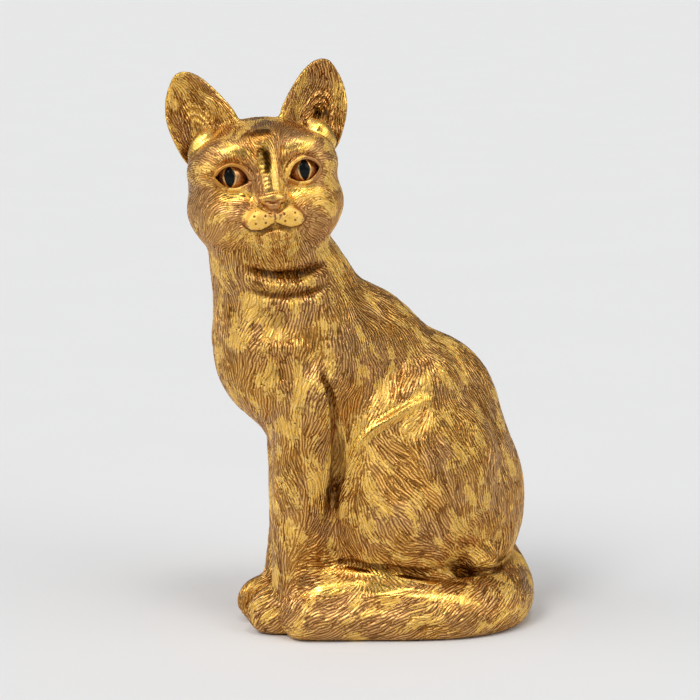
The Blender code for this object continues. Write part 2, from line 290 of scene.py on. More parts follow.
def model_tail(clay):
    clay.add("tail", Roll(TAIL, steps=8), 2.5)


# Masses of the head, like the torso's: its core, the middle of the face and the chin. Those of
# the sides, which are cheeks and brows, start with how far both sides are moved along x.
SKULL = (((-1.2, 4, 2), (31, 30, 27), 0, 8),)
SKULL_SIDES = ((-1.0, (16.5, -2, -9), (17, 21, 15), 8), (-1.5, (15, -8, -17), (13, 16, 9), 8),
               (-1.0, (18, -8, 8), (14, 17, 12), 8), (0.0, (17.5, -15, -8), (12, 9.5, 9), 6),
               (0.0, (14, -15.5, 15), (12, 8.5, 6), 6))
FACE = (((0, -8, -15), (21, 20, 13), 0, 8), ((0, -10, -26), (17, 15, 10), 0, 8),
        ((0, -11, 13), (18, 14.5, 13), 0, 6))
NOSE_BRIDGE = ((0, -18, 16, 8.5), (0, -23.5, 5, 6.2), (0, -28.5, -5, 4.6))
CHIN = (((0, -22.5, -22), (9.5, 8.5, 5.5), 0, 4),)


def model_skull(clay):
    node = "head_shell"
    add_lumps(clay, node, SKULL, HEAD)
    for side in (1, -1):
        for shift, (x, y, z), radii, width in SKULL_SIDES:
            clay.add(node, Lump((side * x + shift, y, z), radii, where=HEAD), width)
    add_lumps(clay, node, FACE, HEAD)
    clay.add(node, Roll(NOSE_BRIDGE, HEAD), 5)
    add_lumps(clay, node, CHIN, HEAD)


def almond(x, z, half_width, above, below):
    """Distance to the shape between two arcs that meet in corners at (+-half_width, 0)."""
    upper = (half_width ** 2 + above ** 2) / (2 * above)
    lower = (half_width ** 2 + below ** 2) / (2 * below)
    return np.maximum(np.hypot(x, z - above + upper) - upper,
                      np.hypot(x, z + below - lower) - lower)


def eye_opening(points, side):
    """Distance, seen from the front, to the almond between the lids of one eye."""
    x = (points[:, 0] * side - OPENING_AT[0]) * OPENING_NARROWER[side]
    z = points[:, 2] - OPENING_AT[1]
    c, s = math.cos(math.radians(OPENING_TILT)), math.sin(math.radians(OPENING_TILT))
    return almond(c * x + s * z, c * z - s * x, *OPENING)


def model_eyelids(clay, side):
    centre = EYE_AT * [side, 1, 1]

    def lids(points):
        ball = np.linalg.norm(points - centre, axis=1) - (EYE_RADIUS + LID)
        return blend_high(ball, -eye_opening(points, side), 0.8)

    def opening(points):
        return blend_high(eye_opening(points, side), points[:, 1] - (centre[1] + 1.0), 1.0)

    clay.add("head_shell", Custom(lids, centre, 12.0, HEAD), 2.5)
    clay.cut(Custom(opening, centre - [0, 6, 0], 14.0, HEAD), 0.8)
    clay.cut(Roll(mirrored_rows(TEAR_DUCT, side), HEAD), 0.7)


def model_muzzle(clay):
    node = "head_shell"
    for side in (1, -1):
        clay.add(node, Lump((side * 9.5, -22.5, -11.5), (8.5, 7.0, 7.5), where=HEAD), 5)
    for side in (1, -1):
        pad = Lump((side * 6.3 + 0.3, -28.2, -13.0), (7.1, 4.9, 5.4), side * 15, HEAD, "y")
        clay.add(node, pad, 1.2)
    clay.add(node, Lump((0.3, -29.2, -12.4), (3.2, 3.8, 4.2), where=HEAD), 1.5)
    bar = ((-3.9, -30.0, -4.8, 2.2), (0.4, -31.4, -4.6, 2.5), (4.8, -30.0, -4.8, 2.2))
    clay.add(node, Roll(bar, HEAD), 1.2)
    clay.add(node, Lump((0.4, -31.2, -7.4), (3.0, 2.8, 2.9), where=HEAD), 1.0)
    for side in (1, -1):
        nostril = ((side * 2.0 + 0.4, -34.0, -5.7, 0.7), (side * 3.9 + 0.4, -33.0, -6.2, 0.8),
                   (side * 4.8 + 0.4, -31.6, -7.3, 0.6))
        clay.cut(Roll(nostril, HEAD), 0.6)
    clay.add(node, Lump((0.2, -26.0, -19.6), (6.5, 5.4, 3.0), where=HEAD), 2.0)


EAR_RIM = ((8.0, 22.0), (9.0, 31.0), (15.5, 41.0), (22.5, 48.5), (28.5, 51.5), (33.5, 50.5),
           (38.0, 43.0), (39.8, 34.0), (38.6, 25.0), (33.0, 12.0))
EAR_MIDDLE = np.array([25.0, 30.0])
EAR_ROOT = np.array([21.0, 15.0])
EAR_TIP = np.array([31.0, 52.0])
EAR_HALF_WIDTH = 14.0
EAR_HALF_THICKNESS = 1.8
EAR_LOBE = ((22.0, -3.0, 24.0, 2.6), (25.0, -4.2, 20.0, 4.8), (28.3, -2.4, 15.8, 3.6))


def ear_outline(flat):
    """Distance, seen from the front, to the left ear's rim, which is a row of straight cuts."""
    outline = None
    for start, end in zip(np.array(EAR_RIM), np.array(EAR_RIM)[1:]):
        along = (end - start) / np.linalg.norm(end - start)
        normal = np.array([along[1], -along[0]])
        if (EAR_MIDDLE - start) @ normal > 0:
            normal = -normal
        edge = (flat - start) @ normal
        outline = edge if outline is None else blend_high(outline, edge, 3.0)
    return outline


def ear_distance(points, side):
    """A cupped sheet within the outline of the ear."""
    x, y, z = points[:, 0] * side, points[:, 1], points[:, 2]
    flat = np.stack([x, z], 1)
    axis = (EAR_TIP - EAR_ROOT) / np.linalg.norm(EAR_TIP - EAR_ROOT)
    across = (flat - EAR_ROOT) @ np.array([axis[1], -axis[0]])
    height = (flat - EAR_ROOT) @ axis
    rim = 2.0 + height * 0.04 + (x - 20) * 0.30
    dish = (np.clip(1 - (across / EAR_HALF_WIDTH) ** 2, 0, 1)
            * np.clip(1 - (height - 13) ** 2 / 30 ** 2, 0, 1))
    front = rim - EAR_HALF_THICKNESS + 8.5 * dish
    back = rim + EAR_HALF_THICKNESS + 9.0 * dish + np.clip(12 - height, 0, 20) * 0.5
    sheet = np.maximum(front - y, y - back) * 0.8
    return blend_high(blend_high(ear_outline(flat), sheet, 2.2), 9 - z, 9.0)


def model_ears(clay):
    for name, side in SIDES:
        ear = Custom(lambda points, side=side: ear_distance(points, side),
                     (side * 24, 5, 30), 36.0, HEAD)
        clay.add("ear_" + name, ear, 4)
        clay.add("ear_" + name, Roll(mirrored_rows(EAR_LOBE, side), HEAD), 3.5)


def round_hole(at, radius, top):
    def distance(points):
        gap = np.hypot(points[:, 0] - at[0], points[:, 1] - at[1]) - radius
        return np.maximum(gap, points[:, 2] - top)
    return Custom(distance, (at[0], at[1], top / 2), radius + 4)


def model_base(clay):
    flat = Custom(lambda points: points[:, 2] - BASE_Z, (0, 0, -60), 160.0)
    flat.high[2] = BASE_Z
    clay.cut(flat, 1.5)
    clay.cut(round_hole(VENT_AT, 11.2, 2.5), 0)
    for at in PADS:
        clay.cut(round_hole(at, 4.3, 1.9), 0)


def model_cat():
    clay = Clay()
    model_torso(clay)
    model_legs(clay)
    model_tail(clay)
    model_skull(clay)
    for side in (1, -1):
        model_eyelids(clay, side)
    model_muzzle(clay)
    model_ears(clay)
    model_base(clay)
    return clay


# ------------------------------------------------------------------ from the field to a mesh

LOW = np.array([-60.0, -104.0, -2.4])
HIGH = np.array([64.0, 88.0, 256.0])
COARSE = 4                      # fine steps in one coarse cell
NEAR_SURFACE = 1.3              # coarse cells within which the surface is looked for


def grid_points(low, step, counts):
    """The points of a grid, row by row."""
    axes = [low[i] + step * np.arange(counts[i]) for i in range(3)]
    return np.stack(np.meshgrid(*axes, indexing="ij"), -1).reshape(-1, 3)


def at_corner(grid, corner, cells):
    """A grid's values at one corner of each of its cells."""
    return grid[tuple(slice(start, start + count) for start, count in zip(corner, cells))]


def fill_grid(clay):
    """Distances on a fine grid, worked out only in the coarse cells that the surface may cross."""
    cells = np.ceil((HIGH - LOW) / (STEP * COARSE)).astype(int)
    coarse = clay.field(grid_points(LOW, STEP * COARSE, cells + 1)).reshape(cells + 1)
    lowest = np.min([np.abs(at_corner(coarse, corner, cells)) for corner in CORNERS], axis=0)
    near = lowest < STEP * COARSE * NEAR_SURFACE
    fine = coarse[:-1, :-1, :-1].astype(np.float32)
    for axis in range(3):
        fine = np.repeat(fine, COARSE, axis)
    offsets = grid_points((0, 0, 0), 1, (COARSE,) * 3)
    spots = (np.argwhere(near)[:, None, :] * COARSE + offsets[None]).reshape(-1, 3)
    fine[tuple(spots.T)] = clay.field(LOW + STEP * spots)
    return fine


def surface_net(values):
    """Quads round the zero level of a grid: one vertex in each cell that the level crosses."""
    inside = values < 0
    shape = np.array(values.shape) - 1
    count = sum(at_corner(inside, corner, shape).astype(np.uint8) for corner in CORNERS)
    crossed = (count > 0) & (count < 8)
    cells = np.argwhere(crossed)
    index = np.full(shape, -1, np.int32)
    index[crossed] = np.arange(len(cells))
    sampled = np.stack([values[tuple((cells + corner).T)] for corner in CORNERS], 1)
    total, crossings = np.zeros((len(cells), 3)), np.zeros(len(cells))
    for a in range(8):
        for b in range(a + 1, 8):
            if np.abs(CORNERS[a] - CORNERS[b]).sum() != 1:
                continue
            differ = (sampled[:, a] < 0) != (sampled[:, b] < 0)
            gap = sampled[:, a] - sampled[:, b]
            t = np.where(differ, sampled[:, a] / np.where(differ, gap, 1), 0)[:, None]
            total += differ[:, None] * (CORNERS[a] + t * (CORNERS[b] - CORNERS[a]))
            crossings += differ
    vertices = LOW + STEP * (cells + total / crossings[:, None])
    quads = []
    for axis in range(3):
        step = np.eye(3, dtype=int)
        u, v = step[(axis + 1) % 3], step[(axis + 2) % 3]
        here = inside[tuple(slice(0, -1) if i == axis else slice(1, -1) for i in range(3))]
        there = inside[tuple(slice(1, None) if i == axis else slice(1, -1) for i in range(3))]
        spots = np.argwhere(here != there) + 1 - step[axis]
        ring = [index[tuple((spots - offset).T)] for offset in (0 * u, u, u + v, v)]
        quad = np.stack(ring, 1)
        outward = inside[tuple(spots.T)]
        quads.append(np.where(outward[:, None], quad, quad[:, ::-1]))
    return vertices, np.concatenate(quads)


def gradient(clay, points, reach=0.35):
    """Unit normals of the field, from four samples round each point."""
    made = np.zeros((len(points), 3))
    for way in np.array([[1, -1, -1], [-1, 1, -1], [-1, -1, 1], [1, 1, 1]]):
        made += way * clay.field(points + way * reach)[:, None]
    return made / np.maximum(np.linalg.norm(made, axis=1), 1e-9)[:, None]


def settle(clay, points, passes=2):
    """Move points on to the surface of the field."""
    for _ in range(passes):
        slope = gradient(clay, points)
        points = points - slope * np.clip(clay.field(points), -1, 1)[:, None] * 0.9
    return points, slope


def edge_pairs(quads):
    return np.stack([quads, np.roll(quads, -1, 1)], -1).reshape(-1, 2)


def split_quads(vertices, quads):
    """Each quad into four, with new vertices at the middles of its edges and of itself."""
    unique, where = np.unique(np.sort(edge_pairs(quads), 1), axis=0, return_inverse=True)
    where = where.reshape(-1, 4) + len(vertices)
    centre = len(vertices) + len(unique) + np.arange(len(quads))
    made = [np.stack([quads[:, i], where[:, i], centre, where[:, i - 1]], 1) for i in range(4)]
    points = np.vstack([vertices, vertices[unique].mean(1), vertices[quads].mean(1)])
    return points, np.concatenate(made)


# ------------------------------------------------------------------ noise

TABLE = 32                      # random values along each side of a noise's table


def corners_of(points, cell):
    """The eight lattice corners round each point, with the point's offset from each."""
    spot = points / cell + 1000.0
    low = np.floor(spot).astype(int)
    part = spot - low
    smooth = part * part * (3 - 2 * part)
    for way in CORNERS:
        weight = np.prod(np.where(way, smooth, 1 - smooth), axis=1)
        yield tuple(((low + way) % TABLE).T), weight, part - way


def lattice(points, cell, seed):
    """Smooth noise from -1 to 1, with features of that size."""
    table = np.random.default_rng(seed).uniform(-1, 1, (TABLE,) * 3)
    return sum(weight * table[at] for at, weight, _ in corners_of(points, cell))


def ripple(points, cell, table):
    """Smooth noise with no slow part, so that its zeros are evenly spaced."""
    return sum(weight * (table[at] * gap).sum(1)
               for at, weight, gap in corners_of(points, cell))


def random_ways(seed):
    ways = np.random.default_rng(seed).normal(size=(TABLE, TABLE, TABLE, 3))
    return ways / np.linalg.norm(ways, axis=-1)[..., None]


def soft_step(value, low, high):
    t = np.clip((value - low) / (high - low), 0, 1)
    return t * t * (3 - 2 * t)


def folded(points):
    """The points, with the right side laid over the left."""
    return np.stack([np.abs(points[:, 0]), points[:, 1], points[:, 2]], 1)


def near_spot(local, centre, reach):
    """1 at a spot, falling smoothly to 0 at its reach, which may differ along each axis."""
    gap = (local - np.array(centre)) / np.array(reach)
    return soft_step(1 - np.sqrt((gap ** 2).sum(1)), 0, 0.6)


# ------------------------------------------------------------------ the way the fur lies

# A place and the way the fur grows there, from nose to tail. x is the cat's left side; the
# other side is its mirror image.
BODY_GUIDES = (
    ((0, -76, 165), (0, 0, -1)), ((28, -50, 160), (0.1, 0.15, -1)),
    ((0, -14, 160), (0, 0.7, -0.7)), ((0, -74, 130), (0, 0, -1)), ((0, -60, 100), (0, 0.3, -1)),
    ((24, -60, 125), (-0.2, -0.2, -1)), ((31, -42, 118), (0, -0.25, -1)),
    ((32, -28, 130), (0, 0.35, -1)), ((30, -10, 130), (0, 0.6, -0.8)),
    ((0, 15, 138), (0, 0.8, -0.6)), ((0, 45, 118), (0, 0.7, -0.7)), ((0, 72, 85), (0, 0.25, -1)),
    ((32, 30, 118), (0, 0.5, -0.9)), ((28, -26, 84), (0, -0.35, -0.95)),
    ((33, -12, 98), (0, -0.55, -0.8)), ((33, 5, 108), (0, -0.2, -0.9)),
    ((0, 76, 45), (0, 0, -1)), ((28, 62, 60), (0, 0.05, -1)),
    ((40, -15, 88), (0, 0.55, -0.8)), ((44, -12, 72), (0, 0.55, -0.8)),
    ((47, 5, 62), (0, 0.6, -0.8)), ((44, 20, 84), (0, 0.5, -0.85)),
    ((42, 34, 66), (0, 0.2, -1)), ((42, -18, 42), (0, 0.75, -0.65)),
    ((43, 4, 32), (0, 0.95, -0.3)), ((41, 28, 36), (0, 0.8, -0.5)),
    ((36, 48, 44), (0, 0.3, -1)),
    ((14, -54, 70), (0.1, 0.1, -1)), ((26, -40, 60), (-0.1, 0.1, -1)),
    ((12, -54, 35), (0, 0, -1)), ((5, -60, 14), (0, -0.8, -0.6)), ((16, -58, 14), (0, -0.8, -0.6)),
    ((18, -20, 50), (0, 0.1, -1)), ((26, -38, 27), (0, -1, -0.1)),
)
HEAD_GUIDES = (
    ((0, -32, -2), (0, 0.3, 1)), ((0, -27, 10), (0, 0.3, 1)), ((0, -22, 22), (0, 0.6, 0.8)),
    ((7, -25, 17), (0.12, 0.3, 1)), ((0, -8, 29), (0, 1, 0.1)), ((0, 20, 25), (0, 0.8, -0.6)),
    ((0, 34, 5), (0, 0.1, -1)), ((0, 28, -20), (0, 0, -1)), ((20, 22, -5), (0, 0.2, -1)),
    ((10, -24, 16), (0.15, 0.2, 1)), ((15, -23, 18), (0.5, 0.2, 0.85)),
    ((21, -20, 15), (0.9, 0.4, 0.4)), ((27, -14, 10), (0.6, 0.7, -0.2)),
    ((7.5, -26, 3), (-0.1, 0.1, 1)), ((9, -26, -6), (0.72, 0.1, 0.7)),
    ((12, -25, -2.5), (0.9, 0.1, 0.35)), ((17, -24, -1), (1, 0.2, 0)),
    ((24, -20, -5), (0.7, 0.3, -0.7)), ((28, -15, -12), (0.2, 0.3, -1)),
    ((17, -24, -7), (1, 0.2, 0)), ((22, -20, -12), (0.4, 0.3, -0.9)),
    ((30, -8, 2), (0.2, 0.9, -0.5)), ((33, -2, -8), (0, 0.4, -0.9)),
    ((20, -16, -20), (0.35, 0.2, -0.9)), ((0, -31, -25), (0, 0.1, -1)),
    ((8, -28, -24), (0.25, 0.1, -1)), ((0, -24, -34), (0, 0.2, -1)),
    ((14, -20, -30), (0.25, 0.2, -1)), ((24, 0, 26), (0.3, 0.2, 0.95)), ((29, 5, 40), (0.2, 0, 1)),
    ((36, 8, 28), (0.25, 0, 1)), ((16, 3, 34), (0.45, 0, 0.9)),
)


def all_guides():
    places, ways = [], []
    for guides, where in ((BODY_GUIDES, BODY), (HEAD_GUIDES, HEAD)):
        for place, way in guides:
            for side in (1, -1) if place[0] else (1,):
                places.append(where.place(np.array(place) * [side, 1, 1]))
                ways.append(where.turn @ (np.array(way) * [side, 1, 1]))
    ways = np.array(ways)
    return np.array(places), ways / np.linalg.norm(ways, axis=1)[:, None]


class Flow:
    """The way the fur lies all over the figure, kept on a grid, with waves worked in."""
    CELL = 3.0

    def __init__(self):
        self.size = np.ceil((HIGH - LOW) / self.CELL).astype(int) + 1
        spots = grid_points(LOW, self.CELL, self.size)
        places, ways = all_guides()
        self.table = np.zeros((len(spots), 4))
        for start in range(0, len(spots), 20000):
            part = slice(start, start + 20000)
            squared = ((spots[part, None, :] - places[None]) ** 2).sum(-1) + 4.0
            weight = squared ** -2.0
            self.table[part, :3] = (weight @ ways) / weight.sum(1)[:, None]
        self.table[:, 3] = 0.55 * lattice(spots, 6.5, 11) + 0.55 * lattice(spots, 13.0, 12)
        rows = Roll(TAIL, steps=8).rows[:, :3]
        self.tail_middles = (rows[1:] + rows[:-1]) / 2
        self.tail_ways = np.diff(rows, axis=0)
        self.tail_ways /= np.linalg.norm(self.tail_ways, axis=1)[:, None]

    def read(self, points):
        spot = np.clip((points - LOW) / self.CELL, 0, self.size - 1.001)
        low = np.floor(spot).astype(int)
        part = spot - low
        made = np.zeros((len(points), 4))
        for way in CORNERS:
            weight = np.prod(np.where(way, part, 1 - part), axis=1)
            at = np.ravel_multi_index(tuple((low + way).T), self.size)
            made += weight[:, None] * self.table[at]
        return made[:, :3], made[:, 3]

    def along(self, points, normals, on_tail):
        """Unit directions of the strands, in the surface."""
        flow, swing = self.read(points)
        if on_tail:
            gaps = ((points[:, None, :] - self.tail_middles[None]) ** 2).sum(-1)
            way = self.tail_ways[gaps.argmin(1)]
            flow = way - 0.75 * np.cross(way, normals)
        flow = flow - (flow * normals).sum(1)[:, None] * normals
        flow /= np.maximum(np.linalg.norm(flow, axis=1), 1e-6)[:, None]
        side = np.cross(normals, flow)
        return np.cos(swing)[:, None] * flow + np.sin(swing)[:, None] * side


def drawn_out(flow, points, normals, on_tail, value, step, count):
    """A noise averaged along the lie of the fur, so that it runs in long strands."""
    total = value(points)
    for sign in (1, -1):
        here = points
        for i in range(1, count + 1):
            here = here + sign * step * flow.along(here, normals, on_tail)
            total = total + math.cos(0.5 * math.pi * i / (count + 1)) * value(here)
    return total / total.std()


# ------------------------------------------------------------------ worked-in detail

# Furrows of the face, one side, as rows of x, z, half width and depth. The other side is their
# mirror image. Painted shade lies in the ones narrower than FINE_FURROW.
FINE_FURROW = 1.0
FACE_MIDDLE = 0.4
FACE_FURROWS = (
    ((8.2, 22, 1.2, 0.2), (7.0, 15, 1.1, 1.1), (5.6, 7, 1.0, 1.3), (4.6, 0, 0.9, 0.9),
     (4.8, -3, 0.8, 0.3)),
    ((7.4, 2.6, 1.0, 0.3), (7.5, -0.5, 1.7, 1.0), (9.6, -6, 2.1, 1.5), (12.9, -10.5, 1.8, 1.5),
     (14.8, -14, 1.4, 1.1)),
    ((0, -15.3, 0.7, 1.0), (2, -16.8, 0.7, 1.2), (6, -18.5, 0.8, 1.4), (10.8, -18.0, 0.8, 1.3),
     (14.3, -15.0, 0.7, 1.0), (16.2, -13, 0.6, 0.4)),
    ((0, -23.8, 1.3, 0.9), (6, -23.2, 1.3, 0.9), (11, -20.8, 1.2, 0.9), (15, -17, 1.1, 0.7),
     (17, -14, 1.0, 0.2)),
    ((0, -9.8, 0.55, 0.8), (0, -14.6, 0.55, 0.9)),
    ((6.4, -5.0, 0.7, 0.5), (5.0, -8.0, 0.7, 1.0), (1.4, -10.4, 0.6, 0.9)),
    ((0, -2.0, 0.6, 0.5), (4.6, -2.4, 0.6, 0.5)), ((0, -6.4, 0.5, 1.2), (3.4, -5.9, 0.5, 0.9)),
    ((9, 11.8, 1.0, 0.4), (15.5, 12.9, 1.0, 0.7), (22, 10.6, 0.9, 0.6), (25, 7, 0.8, 0.2)),
    ((22.4, 5.9, 0.5, 0.8), (24.6, 6.4, 0.5, 0.2)),
)
WHISKERS = ((3.9, -11.7), (8.6, -11.4), (8.3, -14.5), (4.0, -14.6))

# Hollows (negative) and swellings of the body: place, reach and height
BODY_RELIEF = (
    ((26, -57, 142), (11, 11, 8), -3.2), ((25, -58, 131), (15, 15, 3.4), 2.2),
    ((26, -57, 119), (8, 8, 6.5), -3.0), ((8, -74, 140), (12, 12, 12), 1.0),
    ((32, -25, 134), (10, 12, 14), 1.8), ((33, -42, 131), (5, 4.5, 12), -2.4),
    ((31, 46, 34), (5, 4, 7), -2.2), ((28, 50, 46), (6, 4, 12), -1.5),
    ((16, -54, 104), (8, 8, 12), 1.2), ((26, -46, 96), (6, 6, 9), -1.4),
    ((20, -50, 58), (9, 8, 12), 0.8), ((30, -30, 112), (4, 6, 10), 1.6),
)


def furrow(x, z, rows):
    made = np.zeros(len(x))
    for (x0, z0, w0, d0), (x1, z1, w1, d1) in zip(rows, rows[1:]):
        length = (x1 - x0) ** 2 + (z1 - z0) ** 2
        t = np.clip(((x - x0) * (x1 - x0) + (z - z0) * (z1 - z0)) / length, 0, 1)
        gap = np.hypot(x - x0 - t * (x1 - x0), z - z0 - t * (z1 - z0))
        depth = (d0 + t * (d1 - d0)) * np.exp(-(gap / (w0 + t * (w1 - w0))) ** 2)
        made = np.where(np.abs(depth) > np.abs(made), depth, made)
    return made


def face_detail(points):
    """Height of the face's detail, and how dark the painted shade lies in its narrow furrows,
    whisker holes and lid creases.
    """
    local = HEAD.local(points)
    x, y, z = np.abs(local[:, 0] - FACE_MIDDLE), local[:, 1], local[:, 2]
    front = soft_step(-y, 8, 14) * soft_step(30 - np.abs(z), 0, 6)
    height, dark = np.zeros(len(points)), np.zeros(len(points))
    for rows in FACE_FURROWS:
        deep = furrow(x, z, rows)
        height -= deep
        if rows[1][2] < FINE_FURROW:
            # painted shade in the narrow furrows
            dark = np.maximum(dark, np.clip(deep * 0.8, 0, 1))
    for wx, wz in WHISKERS:
        dot = np.exp(-(((x - wx) ** 2 + (z - wz) ** 2) / 0.48 ** 2))
        height -= 0.6 * dot
        # painted shade in the whisker holes
        dark = np.maximum(dark, np.clip(2.4 * dot, 0, 1))
    for side in (1, -1):
        lid = eye_opening(local, side)
        brow = soft_step(local[:, 2], 3, 7)
        height += 0.35 * np.exp(-((lid - 0.8) / 0.7) ** 2)
        crease = np.exp(-((lid - 2.4) / 0.6) ** 2) * (0.3 + 0.7 * brow)
        height -= 0.95 * crease
        # painted shade in the crease above the lid
        dark = np.maximum(dark, 0.75 * crease)
    return height * front, dark * front


def ear_detail(points):
    """Ridges inside the ear, round its hollow, the painted shade in that hollow, and its burnished
    rim.
    """
    local = HEAD.local(points)
    x, z = np.abs(local[:, 0]), local[:, 2]
    ring = np.hypot((x - 25.5 - (z - 26) * 0.25) / 0.62, z - 26)
    inside = soft_step(14 - ring, 0, 3) * soft_step(z, 15, 19)
    # painted shade in the ear's hollow
    dark = 0.7 * soft_step(6.5 - ring, 0, 5) * soft_step(z, 15, 19)
    rim = soft_step(ear_outline(np.stack([x, z], 1)), -2.0, -0.6)
    return inside * 0.4 * np.cos(ring * 1.9), dark, 0.5 * rim


def neck_folds(points):
    """Folds of skin under the chin: two wide creases, each with a ridge below it."""
    local = HEAD.local(points)
    front = soft_step(-local[:, 1], -2, 12) * soft_step(25 - np.abs(local[:, 0] - 4), 0, 14)
    arc = local[:, 2] - 0.012 * (local[:, 0] - 5) ** 2
    made = -2.5 * np.exp(-((arc + 38.4) / 2.3) ** 2) + 0.8 * np.exp(-((arc + 42.8) / 1.6) ** 2)
    made += -1.9 * np.exp(-((arc + 47.2) / 2.4) ** 2) + 0.4 * np.exp(-((arc + 52.0) / 2.0) ** 2)
    return front * made


def body_detail(points):
    made = np.zeros(len(points))
    for place, reach, height in BODY_RELIEF:
        gap = (folded(points) - np.array(place)) / np.array(reach)
        made += height * np.exp(-(gap ** 2).sum(1))
    return made


# Each crease of the legs, with how dark the painted shade lies in it, and from how far to how near
CREASES = ((LEG_CREASE, 1.05, -1.2, 0.5), (THIGH_CREASE, 0.5, -1.5, 0.8),
           (FOOT_CREASE, 0.95, -1.8, 0.6))


def crease_shade(points):
    """How dark the painted shade lies in the creases of the legs."""
    made = np.full(len(points), -np.inf)
    for rows, amount, far, near in CREASES:
        depth = -Roll(rows).distance(folded(points))
        made = np.maximum(made, amount * soft_step(depth, far, near))
    return made


def toe_lines(points):
    """Grooves between the toes of the four paws."""
    made = np.zeros(len(points))
    for x, y, reach in ((-15, -58, 9), (5, -61, 10)):
        front = soft_step(-(points[:, 1] - y - 11), 0, 5) * soft_step(15 - points[:, 2], 0, 4)
        for offset in (-5.2, 0.0, 5.2):
            line = points[:, 0] - x - offset - (points[:, 1] - y) * offset * 0.02
            near = np.abs(points[:, 0] - x) < reach
            made -= np.where(near, 1.3 * np.exp(-(line / 0.9) ** 2) * front, 0)
    return made


# Painted dark marks on the head: a painted dark reflection on the nose bridge, a painted shadow
# line along the top of the forehead and painted shade in the left ear's hollow: place, reach and
# how dark
PAINTED_DARK_SPOTS = (((-1.6, -27, 11), (4.8, 9, 9), 0.8), ((-1.8, -23.5, 22.8), (18, 9, 2.4), 0.7),
         ((27.2, 11, 27.8), (5.5, 8, 6), 0.8))
PAINTED_DARK_STRENGTH = 1.7            # over 1, so that the material can tell these painted dark spots from the other hollows' painted shade


def painted_dark_spots(points):
    """How dark the painted shade and the painted reflection lie, broken up by noise."""
    broken = soft_step(lattice(points, 2.4, 31), -0.9, 0.2)
    made = np.zeros(len(points))
    for centre, reach, amount in PAINTED_DARK_SPOTS:
        made = np.maximum(made, amount * near_spot(HEAD.local(points), centre, reach))
    return PAINTED_DARK_STRENGTH * (made * broken)


def plain_places(points):
    """1 where the clay is left smooth: muzzle, nose and eyelids."""
    local = HEAD.local(points)
    made = near_spot(local, (0.4, -32, -6.5), (8, 9, 5.5))
    for side in (1, -1):
        pad = near_spot(local, (side * 7 + 0.3, -31, -13.2), (10, 10, 7.2))
        made = np.maximum(made, np.clip(pad * 1.5, 0, 1))
        lid = eye_opening(local, side)
        front = local[:, 1] < EYE_AT[1] + 2
        made = np.maximum(made, np.where(front, 1 - soft_step(lid, 1.6, 2.8), 0))
    face = soft_step(-local[:, 1], 12, 20) * soft_step(local[:, 2], -26, -20)
    return np.maximum(made, 0.35 * face)


# Rows of x, y, z and radius along which the leaf is burnished, mirrored to the other side
POLISHED = (
    (HEAD, ((0.6, -31, -1, 2.2), (0.6, -28, 6, 3.0), (0.6, -25, 14, 3.6), (0.6, -20, 22, 3.0))),
    (HEAD, ((8, -26, 15, 1.6), (15, -24, 17.5, 2.4), (21, -19, 16, 1.6))),
    (HEAD, ((9, -26, -3.5, 1.2), (16, -25, -2.6, 2.0), (23, -20, -4.5, 1.2))),
    (HEAD, ((22, -5, 24, 3.2), (25, -6.5, 20, 5.4), (28.3, -4.5, 15.8, 4.2))),
    (HEAD, ((0, -34, -4.0, 1.1), (3.4, -33, -4.4, 1.0))),
    (HEAD, ((4.8, -31.8, -6.6, 1.1), (3.4, -33, -8.0, 0.9))),
    (BODY, ((30.4, -24.4, 82.5, 1.6), (32.8, -20.7, 89.2, 2.8), (36.2, -9.8, 98, 3.2),
            (36.5, 3.7, 104.2, 2.8), (35.6, 11.0, 106.5, 0.8))),
    (BODY, ((25, -44, 20.0, 1.4), (28, -36, 23.8, 2.0), (34, -22, 24.2, 2.6),
            (40.6, -6, 21.7, 2.6), (47.5, 9, 19.8, 2.2), (53, 26, 15.5, 1.0))),
    (BODY, ((21.3, -34.8, 29, 1.2), (25.3, -25.6, 29.3, 2.2), (31.5, -16.4, 28.5, 2.4),
            (36.8, -4.4, 26.7, 2.4), (41.6, 10.2, 24, 1.6))),
)

# How much more leaf (positive) or less is left on parts of the figure
GILT_BIAS = (
    (HEAD, (25, -7, 20), (7, 8, 6), 1.0), (HEAD, (9, -24, 17), (13, 9, 11), -0.6),
    (HEAD, (5.2, -31, -13), (10, 8, 7), 1.8), (HEAD, (0.4, -33, -6), (6, 5, 4), -0.5),
    (HEAD, (15, -24, 5), (9, 6, 6), -0.2), (HEAD, (10, -28, -20), (14, 10, 6), 0.5),
    (HEAD, (0, 10, 30), (20, 14, 10), 0.4), (HEAD, (28, -8, -6), (8, 12, 12), -0.4),
    (BODY, (16, -60, 140), (24, 24, 34), 0.35), (BODY, (45, 8, 62), (12, 26, 22), -0.15),
    (BODY, (12, -48, 60), (18, 16, 40), 0.3), (BODY, (20, 40, 120), (30, 34, 26), -0.35),
    (BODY, (46, -22, 52), (14, 10, 20), 0.5), (BODY, (28, -27, 84), (12, 12, 18), 1.6),
    (BODY, (25, -24, 44), (8, 8, 22), -1.2),
)


def polished_places(points):
    """1 where the leaf is burnished, along the rows of POLISHED."""
    made = np.zeros(len(points))
    for where, rows in POLISHED:
        near = -Roll(rows).distance(folded(where.local(points)))
        made = np.maximum(made, soft_step(near, -1.6, 1.2))
    return made


def gilt_bias(points):
    made = np.zeros(len(points))
    for where, centre, reach, amount in GILT_BIAS:
        made += amount * near_spot(folded(where.local(points)), centre, reach)
    return made


# ------------------------------------------------------------------ pieces

